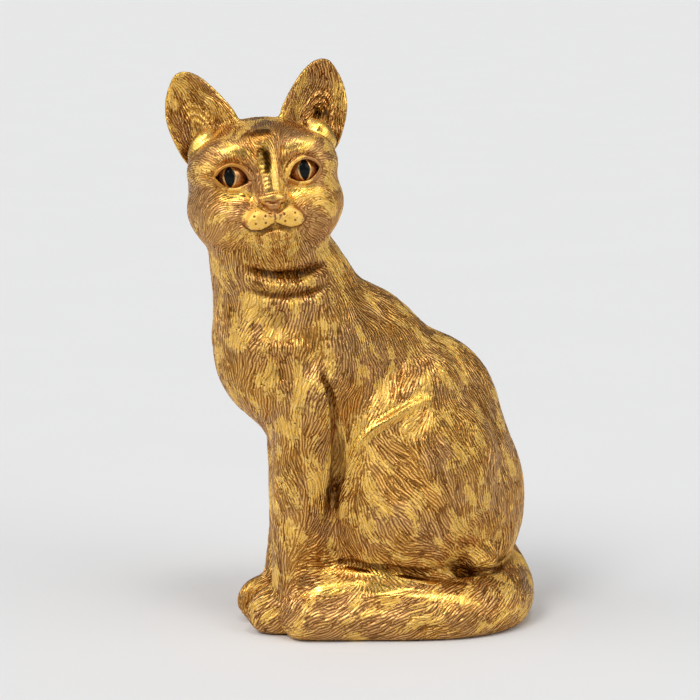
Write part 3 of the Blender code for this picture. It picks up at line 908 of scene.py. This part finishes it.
# Each casting's material slot and the name of its piece
PIECES = {"body_shell": ("gilt_body", "torso"), "head_shell": ("gilt_head", "head"),
          "ear_left": ("gilt_ear", "left_ear"), "ear_right": ("gilt_ear", "right_ear"),
          "foreleg_left": ("gilt_foreleg", "left_foreleg"),
          "foreleg_right": ("gilt_foreleg", "right_foreleg"),
          "haunch_left": ("gilt_haunch", "left_haunch"),
          "haunch_right": ("gilt_haunch", "right_haunch"), "tail": ("gilt_tail", "tail_roll")}
RIM_DEPTHS = {"head_shell": 4.0, "body_shell": 4.0}     # how far a rim turns in; others 1.2
# The size of a lock of fur, the step along it, and how deep it is carved
HEAD_LOCKS = (1.3, 0.6, 0.3)
BODY_LOCKS = (2.0, 0.95, 0.5)
HOLLOW_REACH = 7.0              # how far out from the surface a hollow is felt for
HEAD_NODES = ("head_shell", "ear_left", "ear_right")


def face_neighbours(quads):
    """Pairs of quads that share an edge."""
    edges = np.sort(edge_pairs(quads), 1)
    keys = edges[:, 0].astype(np.int64) * (int(quads.max()) + 1) + edges[:, 1]
    order = np.argsort(keys, kind="stable")
    same = keys[order][:-1] == keys[order][1:]
    return order[:-1][same] // 4, order[1:][same] // 4, edges[order[:-1][same]]


def islands(count, a, b):
    """A number for each connected patch of quads."""
    label = np.arange(count)
    while True:
        lowest = np.minimum(label[a], label[b])
        fresh = label.copy()
        np.minimum.at(fresh, a, lowest)
        np.minimum.at(fresh, b, lowest)
        fresh = fresh[fresh]
        if np.array_equal(fresh, label):
            return label
        label = fresh


def join_islands(quads, owner):
    """Give each small patch that a node owns, apart from its main one, to its neighbour."""
    a, b, _ = face_neighbours(quads)
    joined = owner[a] == owner[b]
    label = islands(len(quads), a[joined], b[joined])
    sizes = np.bincount(label, minlength=len(quads))
    stray = np.ones(len(quads), bool)
    for node in np.unique(owner):
        mine = owner == node
        stray[mine] = label[mine] != label[mine][sizes[label[mine]].argmax()]
    owner = owner.copy()
    while stray.any():
        before = stray.sum()
        for x, y in ((a, b), (b, a)):
            move = stray[x] & ~stray[y]
            owner[x[move]] = owner[y[move]]
            stray[x[move]] = False
        if stray.sum() == before:
            break
    return owner


def smooth_seams(vertices, quads, owner, passes=8):
    """Even out the stepped lines where two pieces meet."""
    a, b, edges = face_neighbours(quads)
    seam = edges[owner[a] != owner[b]]
    for _ in range(passes):
        total = np.zeros_like(vertices)
        count = np.zeros(len(vertices))
        for x, y in ((0, 1), (1, 0)):
            np.add.at(total, seam[:, x], vertices[seam[:, y]])
            np.add.at(count, seam[:, x], 1)
        moved = count == 2
        vertices[moved] = 0.5 * vertices[moved] + 0.5 * total[moved] / 2
    return vertices


def open_rim(quads):
    """The vertices on the open edges of a mesh."""
    edges = np.sort(edge_pairs(quads), 1)
    unique, count = np.unique(edges, axis=0, return_counts=True)
    return np.unique(unique[count == 1])


def rim_loops(quads):
    """The open edges of a mesh, as closed loops of vertices in face order."""
    edges = edge_pairs(quads)
    top = int(edges.max()) + 1
    forward = edges[:, 0].astype(np.int64) * top + edges[:, 1]
    backward = edges[:, 1].astype(np.int64) * top + edges[:, 0]
    lone = edges[~np.isin(forward, backward)]
    following = {}
    for a, b in lone.tolist():
        following.setdefault(a, []).append(b)
    loops = []
    while following:
        start = next(iter(following))
        loop, here = [], start
        while here in following:
            loop.append(here)
            options = following[here]
            after = options.pop()
            if not options:
                del following[here]
            here = after
        loops.append(loop)
    return loops


# Places deep in the clay, where the caps of the pieces can meet unseen
CORES = [BODY.place(spot) for spot in ((0, 10, 70), (0, -35, 120), (2, -52, 168), (0, 20, 30),
                                       (30, 10, 45), (-30, 10, 45), (28, -10, 14), (12, -40, 50),
                                       (-13, -35, 40), (26, -16, 12), (36, 20, 11), (0, 5, 50),
                                       (10, -40, 12), (-14, -42, 10), (0, -10, 30))]
CORES += [HEAD.place(spot) for spot in ((0, 2, 0), (18, 6, 16), (-18, 6, 16))]


def safest_core(clay, rim):
    """The place inside the clay that every point of a rim can be joined to inside the clay."""
    depths = []
    for core in CORES:
        samples = np.concatenate([rim + (core - rim) * t for t in (0.12, 0.3, 0.6, 0.85)])
        depths.append(clay.field(samples).max())
    return CORES[int(np.argmin(depths))]


def closed_piece(clay, vertices, normals, quads, depth):
    """Give a piece cut from the whole surface a turned-in rim and a cap behind it."""
    faces = quads.tolist()
    extra, rims = [], []
    first = len(vertices)
    for loop in rim_loops(quads):
        inner = first + len(extra)
        rim = vertices[loop] - normals[loop] * depth
        middle = safest_core(clay, rim)
        extra.extend(rim)
        extra.append(middle)
        count = len(loop)
        for i in range(count):
            j = (i + 1) % count
            faces.append([loop[j], loop[i], inner + i, inner + j])
            faces.append([inner + j, inner + i, inner + count])
            rims.append((loop[i], loop[j]))
    if extra:
        vertices = np.vstack([vertices, extra])
    return vertices, faces, rims


def keep_rims_sharp(mesh, rims):
    """Stop the shading from rounding over the rim, where the piece turns in."""
    ends = np.zeros(len(mesh.edges) * 2, np.int32)
    mesh.edges.foreach_get("vertices", ends)
    top = len(mesh.vertices)
    keys = np.sort(ends.reshape(-1, 2), 1) @ np.array([top, 1], np.int64)
    wanted = np.sort(np.array(rims), 1) @ np.array([top, 1], np.int64)
    layer = mesh.attributes.new("sharp_edge", "BOOLEAN", "EDGE")
    layer.data.foreach_set("value", np.isin(keys, wanted))


def new_object(name, data):
    made = bpy.data.objects.new(name, data)
    bpy.context.scene.collection.objects.link(made)
    return made


def new_piece(name, node, vertices, faces, values=None, rims=()):
    """An object in metres in the CAD frame, that stands for a CAD node."""
    mesh = bpy.data.meshes.new(name)
    mesh.from_pydata(((vertices + SHIFT) * MM).tolist(), [], faces)
    mesh.shade_smooth()
    if len(rims):
        keep_rims_sharp(mesh, rims)
    for key, data in (values or {}).items():
        rest = len(vertices) - len(data)
        kind = "FLOAT_VECTOR" if data.ndim == 2 else "FLOAT"
        padded = np.concatenate([data, np.zeros((rest,) + data.shape[1:])])
        layer = mesh.attributes.new(key, kind, "POINT")
        field = "vector" if data.ndim == 2 else "value"
        layer.data.foreach_set(field, padded.astype(np.float32).ravel())
    piece = new_object(name, mesh)
    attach(piece, "root")
    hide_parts(node)
    return piece


def build_figure():
    clay = model_cat()
    flow = Flow()
    vertices, quads = surface_net(fill_grid(clay))
    vertices, _ = settle(clay, vertices, 1)
    owners = np.full((len(clay.nodes), len(vertices)), 50.0)
    clay.field(vertices, owners)
    owner = owners[:, quads].mean(2).argmin(0)
    owner = join_islands(quads, owner)
    vertices = smooth_seams(vertices, quads, owner)
    for i, node in enumerate(clay.nodes):
        used, where = np.unique(quads[owner == i], return_inverse=True)
        points, faces = vertices[used], where.reshape(-1, 4)
        if node in HEAD_NODES:
            points, faces = split_quads(points, faces)
        dress_piece(clay, flow, node, points, faces)


def off_base(points, reach):
    """0 at the underside, rising to 1 at that height."""
    return soft_step(points[:, 2], BASE_Z + 0.2, BASE_Z + reach)


def worked_detail(node, points):
    """The height of the detail worked into a piece, how dark its painted shade lies, and its
    burnish.
    """
    polish = polished_places(points)
    if node.startswith("ear"):
        height, dark, rim = ear_detail(points)
        return height, dark, np.maximum(polish, rim)
    if node == "head_shell":
        height, dark = face_detail(points)
    else:
        height = body_detail(points) + toe_lines(points)
        # painted shade in the hollows of the relief and in the creases of the legs
        dark = np.maximum(np.clip(-0.22 * height, 0, 0.75), crease_shade(points))
        height *= off_base(points, 4)
    if node in ("head_shell", "body_shell"):
        folds = neck_folds(points)
        height = height + folds
        # painted shade in the creases of the neck
        dark = np.maximum(dark, np.clip(-0.52 * folds, 0, 1.3))
    return height, dark, polish


def dress_piece(clay, flow, node, points, faces):
    """Settle one piece on the surface, carve its fur and make its object."""
    on_head, on_tail = node in HEAD_NODES, node == "tail"
    rim = open_rim(faces)
    points, normals = settle(clay, points, 2)
    height, dark, polish = worked_detail(node, points)
    points = points + normals * height[:, None]

    table = random_ways(21)
    cell, step, carved = HEAD_LOCKS if on_head else BODY_LOCKS
    strand = drawn_out(flow, points, normals, on_tail,
                       lambda at: ripple(at, cell, table), step, 8)
    patch = drawn_out(flow, points, normals, on_tail,
                      lambda at: lattice(at, 4.5, 5) + 0.6 * lattice(at, 2.2, 6), 1.5, 3)
    plain = plain_places(points)
    # Painted shade: darker the more the clay closes round a point, like ambient occlusion, then
    # joined with the painted shade of the detail and the painted dark spots
    hollow = np.clip(1 - clay.field(points + normals * HOLLOW_REACH) / HOLLOW_REACH, 0, 1)
    hollow = np.maximum(hollow, np.maximum(dark, painted_dark_spots(points)))
    depth = carved * (1 - 0.95 * polish) * (1 - plain)
    depth[rim] = 0.0
    depth *= off_base(points, 3)
    top = np.tanh(1.5 * np.abs(strand))
    points = points + normals * (depth * (top - 0.85))[:, None]
    across = np.cross(normals, flow.along(points, normals, on_tail))
    values = {"strand": strand, "comb": across, "polish": polish, "plain": plain,
              "hollow": hollow, "gilt": 0.8 * patch + gilt_bias(points)}
    points, faces, rims = closed_piece(clay, points, normals, faces, RIM_DEPTHS.get(node, 1.2))
    slot, name = PIECES[node]
    piece = new_piece(name, node, points, faces, values, rims)
    piece.data.materials.append(gilding(slot))


# ------------------------------------------------------------------ eyes

def dome(rings, segments, shape):
    """A closed ball of rings round an axis: shape(polar, around) gives each point."""
    points = [shape(0.0, 0.0)]
    for i in range(1, rings):
        for j in range(segments):
            points.append(shape(math.pi * i / rings, 2 * math.pi * j / segments))
    points.append(shape(math.pi, 0.0))
    faces = [[0, 1 + (j + 1) % segments, 1 + j] for j in range(segments)]
    for i in range(rings - 2):
        low = 1 + i * segments
        for j in range(segments):
            k = (j + 1) % segments
            faces.append([low + j, low + k, low + segments + k, low + segments + j])
    last = len(points) - 1
    low = last - segments
    faces += [[last, low + j, low + (j + 1) % segments] for j in range(segments)]
    return np.array(points), faces


def slit_reach(around):
    """How far the pupil's outline is from its middle, in that direction."""
    half_width, half_height = PUPIL
    radius = (half_width ** 2 + half_height ** 2) / (2 * half_width)
    inset = radius - half_width
    c, s = abs(math.cos(around)), math.sin(around)
    return math.sqrt(radius ** 2 - inset ** 2 * s * s) - inset * c


def build_eye(name, side):
    centre = EYE_AT * [side, 1, 1]

    def ball(polar, around):
        way = np.array([math.sin(polar) * math.cos(around), -math.cos(polar),
                        math.sin(polar) * math.sin(around)])
        return centre + way * EYE_RADIUS

    points, faces = dome(56, 64, ball)
    x = points[:, 0] - centre[0] - GAZE[side]
    z = points[:, 2] - centre[2]
    gap = almond(z, x, PUPIL[1], PUPIL[0], PUPIL[0])
    ring = np.where(points[:, 1] < centre[1], np.exp(-((gap - 0.45) / 0.3) ** 2), 0)
    away = points - centre
    points = centre + away * (1 + 0.18 * ring / EYE_RADIUS)[:, None]
    eye = new_piece(f"{name}_eyeball", f"eye_{name}", HEAD.place(points),
                    faces, {"ring": ring})
    eye.data.materials.append(copper_eye())

    def slit(polar, around):
        reach = math.sin(polar) * slit_reach(around)
        x = reach * math.cos(around) + GAZE[side]
        z = reach * math.sin(around)
        front = math.sqrt(EYE_RADIUS ** 2 - x * x - z * z)
        return centre + np.array([x, -front - 0.3 * math.cos(polar), z])

    points, faces = dome(16, 40, slit)
    pupil = new_piece(f"{name}_pupil", f"pupil_{name}", HEAD.place(points),
                      faces)
    pupil.data.materials.append(black_pupil())


# ------------------------------------------------------------------ materials

class Tree:
    """A short way to add and wire shader nodes."""

    def __init__(self, tree):
        self.tree = tree

    def add(self, kind, inputs=(), **settings):
        node = self.tree.nodes.new(kind)
        for key, value in settings.items():
            setattr(node, key, value)
        for key, value in dict(inputs).items():
            self.put(node.inputs[key], value)
        return node

    def put(self, socket, value):
        if isinstance(value, bpy.types.NodeSocket):
            self.tree.links.new(value, socket)
        else:
            socket.default_value = value

    def math(self, operation, a, b=0.0, c=0.0):
        return self.add("ShaderNodeMath", {0: a, 1: b, 2: c}, operation=operation).outputs[0]

    def step(self, value, low, high, to_low=0.0, to_high=1.0):
        node = self.add("ShaderNodeMapRange",
                        {"Value": value, "From Min": low, "From Max": high,
                         "To Min": to_low, "To Max": to_high}, interpolation_type="SMOOTHSTEP")
        return node.outputs["Result"]


class Nodes(Tree):
    """The nodes of a new material."""

    def __init__(self, name):
        self.material = bpy.data.materials.new(name)
        self.material.use_nodes = True
        super().__init__(self.material.node_tree)
        self.shader = self.tree.nodes["Principled BSDF"]

    def times(self, a, b):
        return self.math("MULTIPLY", a, b)

    def most(self, a, b):
        return self.math("MAXIMUM", a, b)

    def plus(self, base, value, amount):
        """base + amount * value"""
        return self.math("MULTIPLY_ADD", value, amount, base)

    def sway(self, base, value, amount):
        """base, moved either way by a value whose middle is one half."""
        return self.plus(base, self.math("SUBTRACT", value, 0.5), amount)

    def attribute(self, name, output="Fac"):
        return self.add("ShaderNodeAttribute", attribute_name=name).outputs[output]

    def place(self):
        return self.add("ShaderNodeTexCoord").outputs["Object"]

    def noise(self, scale, detail=2.0, rough=0.5):
        inputs = {"Vector": self.place(), "Scale": scale, "Detail": detail, "Roughness": rough}
        return self.add("ShaderNodeTexNoise", inputs).outputs["Fac"]

    def mix(self, factor, a, b):
        node = self.add("ShaderNodeMix", {0: factor, 6: a, 7: b}, data_type="RGBA")
        return node.outputs[2]

    def mix_number(self, factor, a, b):
        return self.add("ShaderNodeMix", {0: factor, 2: a, 3: b}, data_type="FLOAT").outputs[0]

    def bump(self, height, distance):
        node = self.add("ShaderNodeBump", {"Strength": 1.0, "Distance": distance,
                                           "Height": height})
        return node.outputs["Normal"]

    def set(self, **inputs):
        for key, value in inputs.items():
            self.put(self.shader.inputs[key.replace("_", " ")], value)


def rgb(red, green, blue):
    return (red, green, blue, 1.0)


MADE = {}


def once(make):
    """Make each material only once for each set of arguments."""
    def remembered(*arguments):
        key = (make.__name__,) + arguments
        if key not in MADE:
            MADE[key] = make(*arguments)
        return MADE[key]
    return remembered


# Strands in the width of a Gabor cell, which is 3.3 mm: finer on the head and the ears
GABOR_SCALE = 300.0
STRANDS = {"gilt_head": 3.3, "gilt_ear": 3.0}
GROOVE_DARK = rgb(0.17, 0.055, 0.006)
# The next two colours are painted shade: that of hollows and creases, and the blackest, where the
# painted shade lies deepest
HOLLOW_SHADE = rgb(0.19, 0.056, 0.002)
PAINTED_BLACK = rgb(0.05, 0.022, 0.005)
SPECK = rgb(0.05, 0.025, 0.01)


def fine_strands(n, slot, plain):
    """The height of the strands between the locks, from 0 in a groove to 1 on a crest."""
    phase = n.add("ShaderNodeTexGabor",
                  {"Vector": n.place(), "Scale": GABOR_SCALE, "Anisotropy": 1.0,
                   "Frequency": STRANDS.get(slot, 2.5),
                   "Orientation": n.attribute("comb", "Vector")},
                  gabor_type="3D").outputs["Phase"]
    return n.mix_number(plain, n.math("ABSOLUTE", n.plus(-1.0, phase, 2.0)), 0.6)


def leaf_cover(n, wave, flecks, polish):
    """1 where the gold leaf is left, 0 where the ground shows."""
    edge = n.sway(n.attribute("gilt"), flecks, 4.6)
    edge = n.sway(edge, n.noise(170.0, 3.0, 0.6), 3.2)
    edge = n.sway(edge, wave, 0.9)
    rubbed = n.step(n.plus(polish, edge, 0.12), 0.3, 0.6, 0.0, 0.5)
    return n.most(n.step(edge, 0.40, 0.62), rubbed)


def metal_colour(n, leaf, crest, flecks):
    """The ground, with gold and a painted highlight on its crests, and the leaf over it."""
    tint = n.step(n.noise(45.0, 2.0, 0.5), 0.4, 0.6)
    ground = n.mix(tint, rgb(0.58, 0.265, 0.05), rgb(0.54, 0.27, 0.10))
    # gold on the crests, with a painted highlight along them
    bright = n.mix(crest, ground, rgb(1.0, 0.63, 0.21))
    gold = n.mix(n.step(flecks, 0.35, 0.7), rgb(1.0, 0.57, 0.08), rgb(1.0, 0.65, 0.20))
    return n.mix(leaf, bright, gold)


def groove_patina(n, wave, lock, leaf, polish):
    """How dark the patina lies between the strands and the locks: uneven, and less on leaf."""
    groove = n.most(n.math("SUBTRACT", 1.0, n.step(wave, 0.05, 0.4)),
                    n.math("SUBTRACT", 1.0, lock))
    worn = n.times(n.step(n.noise(75.0, 2.0, 0.5), 0.35, 0.62, 0.45, 0.86),
                   n.plus(1.0, leaf, -0.35))
    return n.times(groove, n.plus(worn, polish, -0.4))


@once
def gilding(slot):
    """Gold leaf over a copper-brown ground, rubbed through along the carved strands."""
    n = Nodes("carved_" + slot)
    polish, plain, hollow = (n.attribute(name) for name in ("polish", "plain", "hollow"))
    wave = fine_strands(n, slot, plain)
    lock = n.most(n.step(n.math("ABSOLUTE", n.attribute("strand")), 0.0, 0.45), plain)
    flecks = n.noise(620.0, 4.0, 0.72)
    leaf = leaf_cover(n, wave, flecks, polish)

    # The crests of the strands: gold showing through the thin patina there, with a painted
    # highlight along them
    crest = n.times(n.step(wave, 0.55, 0.95), n.step(flecks, 0.3, 0.55))
    colour = metal_colour(n, leaf, crest, flecks)
    colour = n.mix(groove_patina(n, wave, lock, leaf, polish), colour, GROOVE_DARK)
    # Painted shade in hollows and creases
    colour = n.mix(n.times(n.step(hollow, 0.40, 0.95), 0.85), colour, HOLLOW_SHADE)
    # Painted shade at its blackest, where the hollow value passes 1 (the painted dark spots and
    # the neck's creases), less on the crests
    painted_black_amount = n.plus(n.sway(hollow, flecks, 2.4), crest, -0.35)
    colour = n.mix(n.step(painted_black_amount, 0.95, 1.25, 0.0, 0.88), colour, PAINTED_BLACK)
    speck = n.times(n.step(n.noise(1100.0, 2.0, 0.5), 0.66, 0.70), leaf)
    colour = n.mix(speck, colour, SPECK)

    satin = n.times(leaf, n.math("SUBTRACT", 1.0, n.step(polish, 0.1, 0.5)))
    rough = n.plus(n.plus(0.35, satin, 0.05), n.step(polish, 0.2, 0.7), -0.09)
    rough = n.sway(n.plus(rough, plain, 0.10), flecks, 0.18)
    height = n.plus(n.plus(n.times(lock, 0.5), wave, 0.55), flecks, 0.10)
    height = n.times(height, n.plus(1.0, polish, -0.87))
    n.set(Base_Color=colour, Metallic=n.plus(1.0, satin, -0.5), Roughness=rough,
          Normal=n.bump(height, 0.0005))
    return n.material


@once
def copper_eye():
    """Copper-brown eye with a thin gold ring round the pupil."""
    n = Nodes("copper_eye")
    mottle = n.noise(500.0, 3.0, 0.6)
    colour = n.mix(mottle, rgb(0.36, 0.15, 0.05), rgb(0.62, 0.31, 0.12))
    colour = n.mix(n.step(n.attribute("ring"), 0.2, 0.7), colour, rgb(0.80, 0.52, 0.18))
    n.set(Base_Color=colour, Metallic=0.85, Roughness=n.step(mottle, 0.2, 0.8, 0.18, 0.3))
    return n.material


def mottled(name, noise, dark, light, low_rough, high_rough):
    """A new material whose colour and gloss follow one noise, and that noise."""
    n = Nodes(name)
    mottle = n.noise(*noise)
    n.set(Base_Color=n.mix(mottle, dark, light),
          Roughness=n.step(mottle, 0.2, 0.8, low_rough, high_rough))
    return n, mottle


@once
def black_pupil():
    n, _ = mottled("black_pupil", (900.0, 2.0, 0.5), rgb(0.004, 0.005, 0.005),
                   rgb(0.010, 0.012, 0.012), 0.12, 0.2)
    n.shader.inputs["Specular IOR Level"].default_value = 0.12
    return n.material


@once
def worn_rubber():
    n, grain = mottled("worn_rubber", (1500.0, 4.0, 0.6), rgb(0.05, 0.042, 0.036),
                       rgb(0.10, 0.085, 0.07), 0.6, 0.8)
    n.set(Normal=n.bump(grain, 0.0002))
    return n.material


@once
def brown_felt():
    n, fibre = mottled("brown_felt", (2600.0, 5.0, 0.7), rgb(0.05, 0.028, 0.015),
                       rgb(0.16, 0.10, 0.06), 0.85, 1.0)
    n.set(Normal=n.bump(fibre, 0.0004), Sheen_Weight=0.5)
    return n.material


@once
def studio_paper():
    n = Nodes("studio_paper")
    grain = n.noise(8.0, 2.0, 0.5)
    n.set(Base_Color=n.mix(grain, rgb(0.755, 0.755, 0.755), rgb(0.775, 0.775, 0.775)),
          Roughness=0.95)
    n.shader.inputs["Specular IOR Level"].default_value = 0.0
    return n.material


def dress_nodes():
    """Better materials for the CAD nodes that stay: the vent plug and the felt pads."""
    cover = {"vent_plug": worn_rubber()}
    for number in range(1, len(PADS) + 1):
        cover[f"felt_pad_{number}"] = brown_felt()
    for node, material in cover.items():
        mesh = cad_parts[node].data
        for index in range(len(mesh.materials)):
            mesh.materials[index] = material


# ------------------------------------------------------------------ studio

CAMERA_AZIMUTH = 66.0
CAMERA_DISTANCE = 1.1
CAMERA_HEIGHT = 0.315
CAMERA_AIM = 0.118
CAMERA_LENS = 129.6
CAMERA_SHIFT = (-0.0357, 0.0114)


def facing(azimuth, height=0.0):
    """Unit direction from the figure, at an angle round from the way the body faces."""
    around = math.radians(azimuth)
    way = np.array([math.sin(around), -math.cos(around), height])
    return way / np.linalg.norm(way)


def point_at(obj, way):
    obj.rotation_euler = Vector(way).to_track_quat("-Z", "Y").to_euler()


def build_floor():
    half = 30.0
    mesh = bpy.data.meshes.new("studio_floor")
    corners = [(-half, -half, 0), (half, -half, 0), (half, half, 0), (-half, half, 0)]
    mesh.from_pydata(corners, [], [(0, 1, 2, 3)])
    mesh.materials.append(studio_paper())
    floor = new_object("studio_floor", mesh)


def broad_light(name, way, width, power):
    """A large far light, so that it falls evenly over the floor."""
    light = bpy.data.lights.new(name, "SUN")
    light.angle = math.radians(width)
    light.energy = power
    point_at(new_object(name, light), -np.array(way))


class Sky(Tree):
    """The room round the figure: dim, dimmer behind the camera, with broad pale screens."""

    def __init__(self):
        world = bpy.data.worlds.new("studio")
        bpy.context.scene.world = world
        world.use_nodes = True
        super().__init__(world.node_tree)
        self.way = self.add("ShaderNodeTexCoord").outputs["Generated"]
        self.level = None

    def screen(self, way, inner, outer, amount):
        """Add light (or take it away) within some degrees of a direction."""
        dot = self.add("ShaderNodeVectorMath", {0: self.way, 1: tuple(way)},
                       operation="DOT_PRODUCT").outputs["Value"]
        light = self.step(dot, math.cos(math.radians(outer)), math.cos(math.radians(inner)),
                          0.0, amount)
        self.level = light if self.level is None else self.math("ADD", self.level, light)

    def finish(self, base, backdrop):
        """Join the room's light to the plain backdrop that stands behind the figure."""
        room = self.math("ADD", self.level, base)
        seen = self.add("ShaderNodeLightPath").outputs["Is Camera Ray"]
        gap = self.math("SUBTRACT", backdrop, room)
        level = self.math("ADD", room, self.math("MULTIPLY", gap, seen))
        shader = self.tree.nodes["Background"]
        self.put(shader.inputs["Strength"], level)
        self.put(shader.inputs["Color"], rgb(0.985, 0.99, 1.0))


def build_light():
    sky = Sky()
    sky.screen(facing(66, 0.15), 20, 65, -0.16)
    sky.screen(facing(-10, 0.55), 18, 34, 1.6)
    sky.screen(facing(135, 0.5), 14, 30, 1.2)
    sky.screen((0, 0, 1), 20, 50, 0.45)
    sky.finish(0.22, 0.8)
    broad_light("key", facing(30, 1.1), 22, 1.15)
    broad_light("fill", facing(110, 0.6), 30, 0.35)
    broad_light("top", facing(80, 2.6), 12, 0.4)


def build_camera():
    data = bpy.data.cameras.new("camera")
    data.lens = CAMERA_LENS
    data.sensor_width = 36.0
    data.shift_x, data.shift_y = CAMERA_SHIFT
    data.clip_start, data.clip_end = 0.05, 100.0
    camera = new_object("camera", data)
    origin = SHIFT * MM
    camera.location = origin + facing(CAMERA_AZIMUTH) * CAMERA_DISTANCE + [0, 0, CAMERA_HEIGHT]
    point_at(camera, origin + [0, 0, CAMERA_AIM] - np.array(camera.location))
    bpy.context.scene.camera = camera


bpy.context.scene.view_settings.view_transform = "Standard"
build_camera()
build_light()
build_floor()
build_figure()
for eye_name, eye_side in SIDES:
    build_eye(eye_name, eye_side)
dress_nodes()
